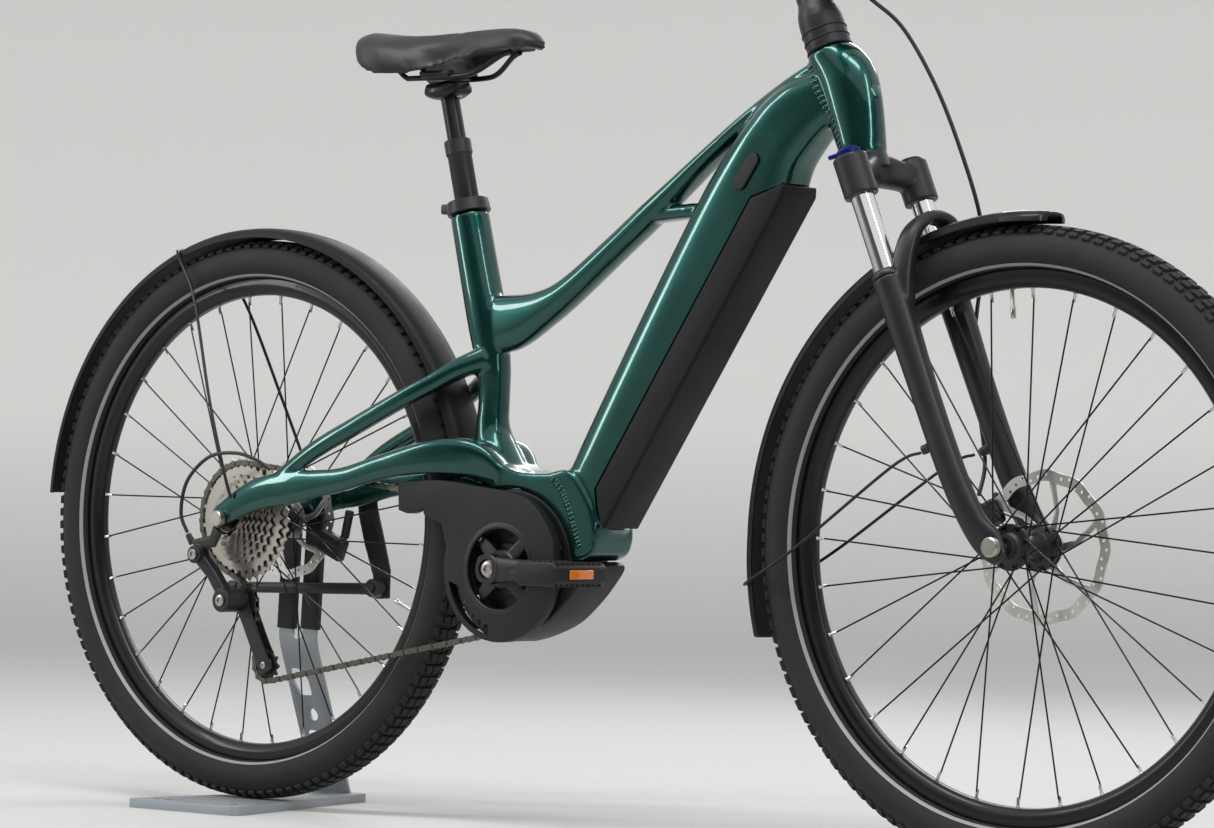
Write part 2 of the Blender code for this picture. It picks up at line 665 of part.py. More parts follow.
def make_chain():
    """Closed band of the chain's width and height along its route."""
    route = chain_route()
    count = len(route)
    bm = bmesh.new()
    rings = []
    for i, place in enumerate(route):
        before, after = Vector(route[i - 1]), Vector(route[(i + 1) % count])
        tangent = (after - before).normalized()
        flank = (Vector((0, 1, 0)) - tangent * tangent.y).normalized()
        across = tangent.cross(flank)
        rings.append([bm.verts.new(Vector(place) + flank * a + across * b)
                      for a, b in ((-2.8, -3.6), (2.8, -3.6), (2.8, 3.6), (-2.8, 3.6))])
    for i in range(count):
        low, high = rings[i], rings[(i + 1) % count]
        for k in range(4):
            bm.faces.new((low[k], low[(k + 1) % 4], high[(k + 1) % 4], high[k]))
    finish(to_object(bm), "chain", "steel", "frame")


def make_derailleur():
    """Hanger link, parallelogram, knuckles and the cage that holds the two pulleys."""
    y = -74.0
    hanger = sweep([(-2, y - 4, -14, 3.5, 9), (-10, y - 4, -30, 3.5, 9), (-44, y - 4, -36, 3.5, 8)],
                   power=3, count=8)
    upper = rod((-38, y - 12, -48), (-38, y + 6, -48), 12, 14)
    link = sweep([(-40, y, -48, 8, 10), (-16, y + 6, -74, 9, 9), (6, y + 8, -104, 9, 10)], power=3, count=10)
    knuckle = rod((*GUIDE_PULLEY[:1], y - 4, GUIDE_PULLEY[1]), (GUIDE_PULLEY[0], REAR_CHAIN_Y - 9.5,
                  GUIDE_PULLEY[1]), 15.5, 16)
    anchor = sweep([(-48, y - 4, -34, 4, 6), (-56, y - 5, -22, 3.5, 4.5)], power=2, count=8)
    body = union(hanger, upper, link, knuckle, anchor)
    for offset in (-6.6, 6.6):
        cage_y = REAR_CHAIN_Y + offset
        plate = sweep([(GUIDE_PULLEY[0] - 6, cage_y, GUIDE_PULLEY[1] + 10, 1.0, 12),
                       (20, cage_y, -132, 1.0, 12), (36, cage_y, -162, 1.0, 12),
                       (TENSION_PULLEY[0] + 5, cage_y, TENSION_PULLEY[1] - 9, 1.0, 13)],
                      power=4, count=8)
        if offset < 0:
            spacer = rod((GUIDE_PULLEY[0], REAR_CHAIN_Y - 12, GUIDE_PULLEY[1]),
                         (GUIDE_PULLEY[0], cage_y, GUIDE_PULLEY[1]), 8, 12)
            union(body, spacer)
        union(body, plate)
    for centre in (GUIDE_PULLEY, TENSION_PULLEY):
        pin = rod((centre[0], REAR_CHAIN_Y - 7, centre[1]), (centre[0], REAR_CHAIN_Y + 7, centre[1]), 3, 10)
        union(body, pin)
    finish(body, "derailleur", "black_satin", "frame")
    for centre, name in ((GUIDE_PULLEY, "guide_pulley"), (TENSION_PULLEY, "tension_pulley")):
        wheel = turned([(3.4, -4.5), (PULLEY_RADIUS - 4.5, -1.5), (PULLEY_RADIUS - 4.5, 1.5), (3.4, 4.5)],
                       (centre[0], REAR_CHAIN_Y, centre[1]), count=20)
        finish(wheel, name, "black_plastic", name)


# ---------------------------------------------------------------- rear end, seat and stand
def fender_ring(centre_x, degrees, radius, half):
    """Cross-section of a fender: a shallow channel, open towards the tyre."""
    profile = [(-half, -13), (-half + 3, -4), (-half * 0.5, 0), (half * 0.5, 0), (half - 3, -4),
               (half, -13), (half - 2.2, -13), (half - 5, -6), (half * 0.45, -2.3),
               (-half * 0.45, -2.3), (-half + 5, -6), (-half + 2.2, -13)]
    return [Vector(polar((centre_x, 0), radius + lift, degrees, y)) for y, lift in profile]


def make_rear_fender():
    steps = 22
    rings = [fender_ring(0.0, 176 + (14 - 176) * i / steps, FENDER_RADIUS, FENDER_HALF_WIDTH)
             for i in range(steps + 1)]
    fender = loft(rings)
    over = [polar((0, 0), 372.0, 111.0, -34.0), polar((0, 0), 384.2, 112.2, -20.0),
            polar((0, 0), 384.2, 112.5, 0.0)]
    half = [(22, -80, 28), (8, -80, 62), (-32, -70, 155), (-88, -48, 290)] + over
    wire = half + [(x, -y, z) for x, y, z in reversed(half[:-1])]
    union(fender, hose(wire, 2.2, 2))
    finish(fender, "rear_fender", "black_plastic", "frame")


def make_rear_axle():
    axle = rod((0, -84, 0), (0, 96, 0), 6.0, 12)
    head = rod((0, -86.5, 0), (0, -77.0, 0), 10.5, 12)
    union(axle, head)
    finish(axle, "rear_axle", "steel", "frame")


def make_rear_caliper():
    turn = Matrix.Rotation(math.radians(22), 3, "Y")
    centre = Vector((80, 54, -32))
    body = block((46, 15, 30), centre, turn, bevel=3.0)
    bridge = rod((96, 60, -22), (104, 60, 14), 6.0, 10)
    union(body, bridge)
    cut(body, turned([(50, -2.4), (83, -2.4), (83, 2.4), (50, 2.4)], (0, 56, 0), count=36))
    finish(body, "rear_caliper", "black_satin", "frame")


def make_kickstand():
    bracket = sweep([(112, 81.2, 56, 2.4, 17), (118, 81.2, 12, 2.4, 18), (132, 78, -22, 3.0, 18),
                     (150, 75.4, -66, 3.2, 16), (152, 75.4, -100, 3.2, 13)], power=4, count=8)
    union(bracket, rod((150, 54, -86), (150, 74, -86), 6.0, 12))
    finish(bracket, "kickstand_bracket", "black_satin", "frame")
    leg = rod((150, 56, -86), (150, 71, -86), 12.0, 16)
    shaft = sweep([(146, 63, -87, 7, 8), (40, 64, -90, 6.5, 7.5), (-112, 66, -94, 6.5, 7.5),
                   (-122, 66, -95, 9, 9)], power=2.4, count=10)
    union(leg, shaft)
    cut(leg, rod((150, 50, -86), (150, 76, -86), 6.4, 12))
    finish(leg, "kickstand_leg", "black_satin", "kickstand")


def make_seat():
    post = rod(seat_point(472), seat_point(268), 15.5, 20)
    union(post, rod(seat_point(491), seat_point(471), 16.8, 20, 17.2))
    cut(post, rod(seat_point(500), seat_point(340), 12.4, 20))
    finish(post, "seatpost_outer", "black_satin", "frame")
    collar = rod(seat_point(397.2), seat_point(414), 28.0, 20, 26.5)
    lug = block((22, 18, 13), Vector(seat_point(406)) + Vector((-29, 0, -3)), bevel=2.0)
    union(collar, lug)
    cut(collar, rod(seat_point(385), seat_point(430), 15.9, 20))
    finish(collar, "seat_collar", "black_satin", "frame")

    inner = rod(seat_point(552), seat_point(388), 12.0, 20)
    head = sweep([(286, 0, 556, 19, 9), (300, 0, 554, 21, 11), (322, 0, 556, 21, 12), (338, 0, 560, 19, 8)],
                 power=3, count=12)
    union(inner, head)
    finish(inner, "seatpost_inner", "black_gloss", "saddle_post")
    rails = []
    for side in (-1, 1):
        rails.append(hose([(222, side * 34, 598.0), (240, side * 27, 590), (258, side * 23, 573), (275, side * 22, 570.5),
                           (350, side * 22, 571), (378, side * 20, 576), (408, side * 12, 594),
                           (424, side * 9, 600)], 3.5, 2))
    clamp_plate = block((52, 56, 5), (312, 0, 572), bevel=1.0)
    rear_tie = rod((222, -36, 598.0), (222, 36, 598.0), 3.4, 10)
    rail_pair = union(rails[0], rear_tie, rails[1], clamp_plate)
    finish(rail_pair, "saddle_rails", "black_satin", "saddle_post")
    shell, cover = [], []
    for x, width, top, edge, base in ((195, 40, 618, 606, 609), (199, 56, 627, 600, 608),
                                      (215, 70, 630, 590, 606), (235, 75, 626, 583, 604),
                                      (262, 70, 623, 579, 602), (290, 52, 623, 579, 601),
                                      (330, 33, 626, 585, 604), (380, 25, 628, 594, 608),
                                      (430, 22, 627, 601, 608), (456, 15, 617, 604, 607),
                                      (469, 7, 611, 606, 607)):
        flank = edge + (top - edge) * 0.66
        cover.append([Vector((x, y * width, z)) for y, z in (
            (-1, edge + 5), (-0.93, flank), (-0.6, top - 2.5), (0, top), (0.6, top - 2.5), (0.93, flank),
            (1, edge + 5), (0.98, edge), (0.9, edge + 0.3), (0.87, base + 1), (-0.87, base + 1),
            (-0.9, edge + 0.3), (-0.98, edge))])
        if 199 < x < 469:
            shell.append([Vector((x, y * width, base + z)) for y, z in (
                (-0.84, 0.4), (-0.84, -2.8), (0, -3.4), (0.84, -2.8), (0.84, 0.4), (0, 0.4))])
    finish(loft(shell), "saddle_shell", "black_plastic", "saddle_post")
    finish(loft(cover), "saddle_cover", "black_satin", "saddle_post")


def make_stand():
    """Bent steel plate: tapered foot under the wheel and a slotted upright beside the axle."""
    foot_z = -TYRE_RADIUS - PLATE_THICKNESS
    bm = bmesh.new()
    corners = [(-95, -140), (95, -140), (100, -128), (34, 150), (30, 186), (-42, 186), (-46, 150),
               (-100, -128)]
    face = bm.faces.new([bm.verts.new((x, y, foot_z)) for x, y in corners])
    extruded = bmesh.ops.extrude_face_region(bm, geom=[face])
    moved = [v for v in extruded["geom"] if isinstance(v, bmesh.types.BMVert)]
    bmesh.ops.translate(bm, verts=moved, vec=(0, 0, PLATE_THICKNESS - FIT_GAP))
    rims = [e for e in bm.edges if abs(e.verts[0].co.z - e.verts[1].co.z) < 0.01]
    bmesh.ops.bevel(bm, geom=rims, offset=3.0, segments=1, affect="EDGES")
    plate = to_object(bm)
    cut(plate, block((110, 16, 40), (0, -112, foot_z), bevel=2.0))
    lean = math.tan(math.radians(3.0))
    half_width, half_thickness = 33.8, 2.6
    upright = sweep([(lean * (foot_z + 6), 170, foot_z + 6, half_thickness, half_width),
                     (lean * -175, 88, -172, half_thickness, half_width),
                     (lean * -160, 84, -158, half_thickness, half_width),
                     (lean * 15, 84, 15, half_thickness, half_width)], power=12, count=12, side=(0, 1, 0))
    union(plate, upright)
    slot_foot = -150
    slot = sweep([(lean * slot_foot, 84, slot_foot, 12, 9.6), (lean * 40, 84, 40, 12, 9.6)], power=8, count=8)
    slot_end = rod((lean * slot_foot, 70, slot_foot), (lean * slot_foot, 98, slot_foot), 9.5, 16)
    window = prism([(-38, -200), (-18, -200), (-6, -214), (-6, -236), (-28, -236), (-38, -216)], 60, 200)
    hole = rod((-14, 60, -262), (-14, 200, -262), 8.5, 16)
    low_window = prism([(-36, -284), (-12, -284), (4, -300), (4, -334), (-40, -334)], 60, 200)
    cut(plate, slot, slot_end, window, hole, low_window)
    finish(plate, "stand_plate", "zinc", "stand")
    for side, name in ((1, "front"), (-1, "rear")):
        middle = side * 21.6
        sleeve = sweep([(lean * -146 + middle, 84, -146, 5.6, 15.0), (lean * 22 + middle, 84, 22, 5.6, 15.0)],
                       power=6, count=12)
        room = sweep([(lean * -160 + middle, 84, -160, half_thickness + FIT_GAP, 12.7),
                      (lean * 19 + middle, 84, 19, half_thickness + FIT_GAP, 12.7)], power=12, count=12)
        cut(sleeve, room)
        finish(sleeve, f"stand_sleeve_{name}", "rubber", "stand")


# ---------------------------------------------------------------- fork and cockpit
def leg_station(along, ahead=STANCHION_OFFSET, y=STANCHION_SPACING, side_size=17.0, depth=17.0):
    return (*head_point(ahead, along, y), side_size, depth)


def make_fork_upper():
    side_axis = (0, 1, 0)
    crown = sweep([(*head_point(18.5, 474, -60), 19, 17), (*head_point(14, 481, -40), 17, 17),
                   (*head_point(6, 490, -18), 18, 20), (*head_point(4, 492, 0), 18, 22),
                   (*head_point(6, 490, 18), 18, 20), (*head_point(14, 481, 40), 17, 17),
                   (*head_point(18.5, 474, 60), 19, 17)], power=2.8, count=12, side=(1, 0, 0))
    for side in (-1, 1):
        y = side * STANCHION_SPACING
        socket = rod(head_point(STANCHION_OFFSET, 446, y), head_point(STANCHION_OFFSET, 497, y), 20.5, 14)
        union(crown, socket)
    union(crown, rod(head_point(0, 488), head_point(0, 517.5), 26.5, 16))
    union(crown, rod(head_point(0, 500), head_point(0, 742), 14.2, 16))
    for side in (-1, 1):
        y = side * STANCHION_SPACING
        cut(crown, rod(head_point(STANCHION_OFFSET, 440, y), head_point(STANCHION_OFFSET, 490, y), 14.5, 16))
    finish(crown, "fork_crown", "black_satin", "fork")
    for side, name in ((-1, "right"), (1, "left")):
        y = side * STANCHION_SPACING
        stanchion = rod(head_point(STANCHION_OFFSET, 220, y), head_point(STANCHION_OFFSET, 489.5, y),
                        STANCHION_RADIUS, 20)
        finish(stanchion, f"stanchion_{name}", "chrome", "fork")
    knob = rod(head_point(STANCHION_OFFSET, 498.2, -60), head_point(STANCHION_OFFSET, 507, -60), 15, 16, 12)
    tab = sweep([(*head_point(STANCHION_OFFSET - 4, 503, -62), 4, 3),
                 (*head_point(STANCHION_OFFSET - 22, 504, -70), 4, 2.4)], power=3, count=8)
    union(knob, tab)
    finish(knob, "lockout_knob", "blue_knob", "lockout")


def bar_shape(extra):
    """Handlebar from grip to grip, or with extra radius the room it needs."""
    path = []
    for y, ahead, along, radius in ((-350, 50, 752, 11.1), (-210, 62, 757, 11.1), (-150, 70, 757, 11.3),
                                    (-80, 73, 743, 14.0), (-40, 72, 738, 15.9), (0, 72, 738, 15.9),
                                    (40, 72, 738, 15.9), (80, 73, 743, 14.0), (150, 70, 757, 11.3),
                                    (210, 62, 757, 11.1), (350, 50, 752, 11.1)):
        path.append((*head_point(ahead, along, y), radius + extra, radius + extra))
    return sweep(smooth_path(path, 2), count=12, side=(0, 0, 1))


def make_cockpit():
    stem = turned([(14.6, 0), (27.0, 0), (27.0, 34), (25.5, 50), (20.5, 62), (20.5, 92), (14.6, 92)],
                  head_point(0, 648.4), Vector(head_point(0, 1)) - Vector(head_point(0, 0)), count=16)
    neck = sweep([(*head_point(15, 722), 17, 17), (*head_point(46, 731), 15, 13),
                  (*head_point(62, 736), 20, 15)], power=2.4, count=8)
    clamp = rod(head_point(72, 738, -22), head_point(72, 738, 22), 21, 16)
    union(stem, neck, clamp)
    cut(stem, rod(head_point(72, 738, -30), head_point(72, 738, 30), 17.0, 16),
        rod(head_point(0, 640), head_point(0, 760), 14.7, 16))
    finish(stem, "stem", "black_satin", "fork")

    finish(bar_shape(0.0), "handlebar", "black_satin", "fork")
    for side, name in ((-1, "right"), (1, "left")):
        start, end = Vector(head_point(61.0, 757, side * 218)), Vector(head_point(49.6, 752, side * 353))
        grip = rod(start, end, 16.0, 16, 16.5)
        cut(grip, rod(start - (end - start) * 0.1, start + (end - start) * 0.985, 12.0, 14))
        finish(grip, f"grip_{name}", "rubber", "fork")
        make_lever(side, name)
    display = block((16, 74, 50), Vector(head_point(72, 738)) + Vector((-2, 0, 40)), Matrix.Rotation(
        math.radians(58), 3, "Y"), bevel=4.0)
    foot = rod(head_point(60, 757, 0), head_point(56, 770, 0), 9.0, 12)
    union(display, foot)
    finish(display, "display", "black_plastic", "fork")


def make_lever(side, name):
    """Clamp with its reservoir, and the blade that pivots on it."""
    bar_place = head_point(64.0, 757, side * 195)
    clamp = turned([(11.9, -7), (17, -7), (17, 7), (11.9, 7)], bar_place, count=14)
    reservoir = sweep([(*head_point(82, 752, side * 176), 10, 9), (*head_point(90, 745, side * 200), 11, 10),
                       (*head_point(96, 741, side * 214), 8, 8)], power=2.6, count=8, side=(0, 0, 1))
    arm = sweep([(*head_point(77, 753, side * 192), 7, 7), (*head_point(88, 747, side * 196), 7, 8)],
                power=2.6, count=8, side=(0, 1, 0))
    body = union(clamp, arm, reservoir)
    pivot = Vector(BODY_PIVOTS[f"brake_lever_{name}"])
    ear = block((22, 18, 20), pivot + Vector((-7, 0, 3)), bevel=2.0)
    union(body, ear)
    if side < 0:
        pod = sweep([(*head_point(66, 739, -168), 10, 8), (*head_point(80, 724, -168), 12, 9)], power=3,
                    count=8)
        union(body, pod, sweep([(*head_point(64, 742, -172), 7, 6), (*head_point(68, 740, -192), 7, 6)],
                               power=2, count=8, side=(0, 0, 1)))
    else:
        pod = block((14, 28, 30), Vector(head_point(69, 757, 156)) + Vector((-19, 0, 2)), bevel=2.0)
        union(body, pod, block((10, 50, 10), Vector(head_point(66, 757, 176)) + Vector((-14, 0, 0))))
    slot = block((40, 60, 9.2), pivot + Vector((5, side * 22, 0)))
    cut(body, slot, bar_shape(0.5))
    finish(body, f"lever_mount_{name}", "black_satin", "fork")
    blade_path = [(*(pivot + Vector((0, side * -4, 0))), 4.0, 8), (*(pivot + Vector((6, side * 20, -1))), 4.0, 7),
                  (*(pivot + Vector((6, side * 55, -3))), 4.0, 6), (*(pivot + Vector((-2, side * 92, -5))), 4.0, 6),
                  (*(pivot + Vector((2, side * 104, -5))), 4.0, 6)]
    blade = sweep(blade_path, power=2.6, count=8, side=(0, 0, 1))
    finish(blade, f"brake_lever_{name}", "black_satin", f"brake_lever_{name}")


def make_controls():
    pivot = Vector(BODY_PIVOTS["shift_lever"])
    paddle = sweep([(*(pivot + Vector((0, 4, 0))), 9, 2.0), (*(pivot + Vector((-8, -18, -3))), 8, 2.0),
                    (*(pivot + Vector((-14, -34, -2))), 8, 2.2)], power=3, count=8, side=(1, 0, 0))
    finish(paddle, "shift_lever", "black_plastic", "shift_lever")
    face = Vector(head_point(69, 757, 156)) + Vector((-26, 0, 2))
    button = rod(face + Vector((-4.4, 0, 0)), face + Vector((-1.3, 0, 0)), 8.0, 16)
    finish(button, "assist_button", "grey_plastic", "assist_button")


def make_fork_lower():
    legs = []
    for side in (-1, 1):
        y = side * STANCHION_SPACING
        path = [leg_station(344, 18.5, y, 18.0, 18.5), leg_station(300, 18.5, y, 17.5, 18.5),
                leg_station(200, 18.0, y, 15.5, 16.5), leg_station(100, 20.0, y, 14.5, 16.5),
                leg_station(40, 26.0, side * 59, 12.0, 17.0), leg_station(8, 36.0, side * 57, 9.0, 19.0),
                leg_station(-16, 44.0, side * 56, 7.5, 10.0)]
        legs.append(sweep(path, power=2.2, count=12))
    lowers = legs[0]
    arch = [(*head_point(22, 312, -56), 12, 12), (*head_point(38, 350, -54), 12, 11),
            (*head_point(55, 382, -44), 13, 9), (*head_point(64, 398, -24), 13, 7.5),
            (*head_point(66, 403, 0), 13, 7.0), (*head_point(64, 398, 24), 13, 7.5),
            (*head_point(55, 382, 44), 13, 9), (*head_point(38, 350, 54), 12, 11),
            (*head_point(22, 312, 56), 12, 12)]
    union(lowers, sweep(smooth_path(arch, 2), power=2.8, count=8, side=(1, 0, 0.4)), legs[1])
    for side in (-1, 1):
        y = side * STANCHION_SPACING
        tip = head_point(-10, 140, side * 58)
        union(lowers, rod(head_point(8, 140, side * 59), tip, 6.0, 10))
        cut(lowers, rod(head_point(STANCHION_OFFSET, 120, y), head_point(STANCHION_OFFSET, 420, y), 14.5, 20))
    cut(lowers, rod((WHEELBASE, -90, 0), (WHEELBASE, 90, 0), 7.8, 16))
    cut(lowers, turned([(1.0, -50.0), (30.0, -50.0), (30.0, 47.5), (1.0, 47.5)], (WHEELBASE, 0, 0), count=20))
    finish(lowers, "fork_lowers", "black_satin", "fork_lower")
    axle = rod((WHEELBASE, -68, 0), (WHEELBASE, 68, 0), 5.8, 12)
    union(axle, rod((WHEELBASE, -75, 0), (WHEELBASE, -66.5, 0), 11.5, 12))
    finish(axle, "front_axle", "black_satin", "fork_lower")


def make_front_brake():
    centre = Vector(head_point(-18, 62, 37))
    turn = Matrix.Rotation(-(HEAD_ANGLE - math.radians(90)) + math.radians(40), 3, "Y")
    body = block((30, 17, 46), centre, turn, bevel=3.0)
    union(body, rod(head_point(-12, 66, 44), head_point(2, 84, 50), 6, 10))
    cut(body, turned([(52, -2.4), (93, -2.4), (93, 2.4), (52, 2.4)], (WHEELBASE, 38, 0), count=36),
        rod(head_point(STANCHION_OFFSET, 20, 60), head_point(STANCHION_OFFSET, 200, 60), 18.5, 20))
    finish(body, "front_caliper", "black_satin", "fork_lower")
    route = [head_point(86, 749, -171.5), head_point(92, 742, -148), head_point(92, 712, -100),
             head_point(84, 692, -50), head_point(84, 672, -8), head_point(98, 630, 14),
             head_point(108, 549, 26), head_point(105, 460, 38), head_point(90, 392, 56),
             head_point(60, 346, 76), head_point(32, 306, 82), head_point(10, 262, 81),
             head_point(-4, 200, 77), head_point(-13, 130, 66), head_point(-24, 92, 48)]
    finish(hose(route, 2.5, 3), "front_brake_hose", "rubber", "fork_lower")


def make_front_fender():
    steps = 18
    rings = []
    for i in range(steps + 1):
        degrees = 87 + (198 - 87) * i / steps
        half = FENDER_HALF_WIDTH + max(0.0, (i - 15) * 2.0)
        rings.append(fender_ring(WHEELBASE, degrees, FENDER_RADIUS, half))
    fender = loft(rings)
    hub = (WHEELBASE, 0.0)
    half = [head_point(-16.5, 140, -54), (1060, -52, 88), (920, -44, -8)]
    half += [polar(hub, 372.0, 188.0, -38.0), polar(hub, 384.5, 188.2, -21.0),
             polar(hub, 384.5, 188.2, 0.0)]
    stay = half + [(x, -y, z) for x, y, z in reversed(half[:-1])]
    union(fender, hose(stay, 2.0, 2))
    finish(fender, "front_fender", "black_plastic", "fork_lower")


def make_shift_cable():
    route = [(-57, -79, -20), (-67, -82, 6), (-54, -85, 48), (-14, -86, 80), (32, -84, 86), (66, -80, 78),
             (86, -74, 66)]
    finish(hose(route, 2.4, 3), "shift_cable", "rubber", "frame")


def main():
    for obj in list(bpy.data.objects):
        bpy.data.objects.remove(obj)
    make_stand()
    make_main_frame()
    make_battery()
    make_charge_cap()
    make_motor()
    make_chain_guard()
    make_crank()
    make_pedals()
    make_chain()
    make_derailleur()
    make_cassette()
    make_rear_wheel()
    make_front_wheel()
    make_rear_fender()
    make_rear_axle()
    make_rear_caliper()
    make_kickstand()
    make_seat()
    make_shift_cable()
    make_fork_upper()
    make_cockpit()
    make_controls()
    make_fork_lower()
    make_front_brake()
    make_front_fender()
    centre_on_ground()


main()
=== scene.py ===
"""Looks of a trekking e-bike held upright by a display stand.

Shapes are drawn in millimetres in the bicycle's side view: x forward and z up from the rear axle,
y to the rider's left. The workbench places them over the ground in metres.
"""

import json
import logging
import math
from dataclasses import dataclass
from enum import Enum
from typing import Iterable, Sequence

import bmesh
import bpy
from mathutils import Matrix, Vector

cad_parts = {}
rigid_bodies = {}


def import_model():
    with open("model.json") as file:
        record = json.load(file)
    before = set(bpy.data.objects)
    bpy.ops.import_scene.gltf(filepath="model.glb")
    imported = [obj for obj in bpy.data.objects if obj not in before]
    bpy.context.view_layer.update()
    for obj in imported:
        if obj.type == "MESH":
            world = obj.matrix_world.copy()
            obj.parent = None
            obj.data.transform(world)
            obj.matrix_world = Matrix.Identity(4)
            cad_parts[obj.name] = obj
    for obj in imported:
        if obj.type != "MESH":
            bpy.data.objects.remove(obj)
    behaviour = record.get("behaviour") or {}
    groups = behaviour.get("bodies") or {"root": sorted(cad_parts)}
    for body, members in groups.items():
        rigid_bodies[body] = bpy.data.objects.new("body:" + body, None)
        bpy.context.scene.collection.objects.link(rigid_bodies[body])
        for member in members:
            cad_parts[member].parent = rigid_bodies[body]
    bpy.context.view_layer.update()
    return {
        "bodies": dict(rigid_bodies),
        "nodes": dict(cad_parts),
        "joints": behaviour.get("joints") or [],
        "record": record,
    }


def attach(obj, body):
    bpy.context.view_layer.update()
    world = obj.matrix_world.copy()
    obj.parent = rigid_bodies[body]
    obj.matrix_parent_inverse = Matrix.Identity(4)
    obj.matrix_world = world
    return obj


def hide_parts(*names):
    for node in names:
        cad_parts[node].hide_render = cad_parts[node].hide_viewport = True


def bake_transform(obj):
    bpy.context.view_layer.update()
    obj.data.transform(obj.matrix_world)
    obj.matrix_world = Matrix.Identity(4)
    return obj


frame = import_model()

LOG = logging.getLogger("bicycle")
MM = 0.001
HEAD_ANGLE = math.radians(67.0)
DOWN_ANGLE = math.radians(57.0)
SEAT_ANGLE = math.radians(75.5)
WHEELBASE = 1213.0
FORK_OFFSET = 45.0
BB = (469.0, -50.0)
CRANK_LENGTH = 170.0
TYRE_RADIUS = 368.0
FENDER_RADIUS = 384.0
PITCH = math.asin(12.0 / WHEELBASE)
SPOKES = 32
REAR_CHAIN_Y = -34.0
FRONT_CHAIN_Y = -50.0
GUIDE_PULLEY = (6.0, -107.0)
TENSION_PULLEY = (52.0, -190.0)

Point = tuple[float, float, float]
Flat = tuple[float, float]
Station = tuple[float, float, float, float, float]


# ---------------------------------------------------------------- places on the bicycle
def head_point(ahead: float, along: float, y: float = 0.0) -> Point:
    """Point from its distance ahead of the steering axis and its height along it.

    Args:
        ahead: millimetres in front of the steering axis.
        along: millimetres up the steering axis from the foot of the fork offset.
        y: millimetres to the left.

    Returns:
        The point in the side view.
    """
    cos_h, sin_h = math.cos(HEAD_ANGLE), math.sin(HEAD_ANGLE)
    foot_x, foot_z = WHEELBASE - FORK_OFFSET * sin_h, -FORK_OFFSET * cos_h
    return (foot_x + ahead * sin_h - along * cos_h, y, foot_z + ahead * cos_h + along * sin_h)


def down_point(along: float, out: float, y: float = 0.0) -> Point:
    """Point along the down tube and out towards the front wheel."""
    cos_d, sin_d = math.cos(DOWN_ANGLE), math.sin(DOWN_ANGLE)
    return (along * cos_d + out * sin_d, y, along * sin_d - out * cos_d)


def seat_point(z: float) -> Point:
    """Point on the seat post's axis at a height."""
    return (332.0 - (z - 481.0) / math.tan(SEAT_ANGLE), 0.0, z)


def polar(centre: Flat, radius: float, degrees: float, y: float = 0.0) -> Point:
    """Point on a circle that lies in the side view."""
    angle = math.radians(degrees)
    return (centre[0] + radius * math.cos(angle), y, centre[1] + radius * math.sin(angle))


def flat_arc(centre: Flat, radius: float, start: float, end: float, steps: int) -> list[Flat]:
    """Outline points along an arc, both ends included."""
    points = [polar(centre, radius, start + (end - start) * i / steps) for i in range(steps + 1)]
    return [(x, z) for x, _, z in points]


def smooth_path(points: Sequence[Sequence[float]], per_span: int) -> list[tuple[float, ...]]:
    """Catmull-Rom curve through tuples of any length.

    Args:
        points: the tuples to pass through.
        per_span: how many steps lie between two of them.

    Returns:
        The denser list, ends included.
    """
    count = len(points)
    result = []
    for i in range(count - 1):
        p0, p1 = points[max(i - 1, 0)], points[i]
        p2, p3 = points[i + 1], points[min(i + 2, count - 1)]
        for step in range(per_span):
            t = step / per_span
            result.append(tuple(
                0.5 * (2 * b + (c - a) * t + (2 * a - 5 * b + 4 * c - d) * t * t
                       + (3 * b - 3 * c + d - a) * t ** 3)
                for a, b, c, d in zip(p0, p1, p2, p3)))
    result.append(tuple(points[-1]))
    return result


# ---------------------------------------------------------------- finishes
def linear(code: str) -> tuple[float, float, float, float]:
    """Turns an sRGB hex code into a linear colour."""
    channels = [int(code[i:i + 2], 16) / 255 for i in (1, 3, 5)]
    return (*[c / 12.92 if c <= 0.04045 else ((c + 0.055) / 1.055) ** 2.4 for c in channels], 1.0)


def add_node(tree: bpy.types.NodeTree, kind: str, settings: dict | None = None,
             inputs: dict | None = None) -> bpy.types.Node:
    """Adds a node with its settings, and with its inputs set or linked.

    Args:
        tree: the material's or world's node tree.
        kind: the node's type.
        settings: attribute name to value.
        inputs: socket name or number to a value or an output socket.

    Returns:
        The node.
    """
    node = tree.nodes.new(kind)
    for key, value in (settings or {}).items():
        setattr(node, key, value)
    for key, value in (inputs or {}).items():
        if isinstance(value, bpy.types.NodeSocket):
            tree.links.new(value, node.inputs[key])
        else:
            node.inputs[key].default_value = value
    return node


class Surface(Enum):
    """How a surface was made, which decides its fine relief."""

    FLAKE = "metallic flake under lacquer"
    SATIN = "satin powder coat"
    MOULDED = "moulded plastic with a spark-eroded grain"
    RUBBER = "vulcanised rubber"
    BRUSHED = "stamped and tumbled steel"
    POLISHED = "hard chrome"
    LEATHERETTE = "grained saddle cover"
    GALVANISED = "grey powder coat on plate"


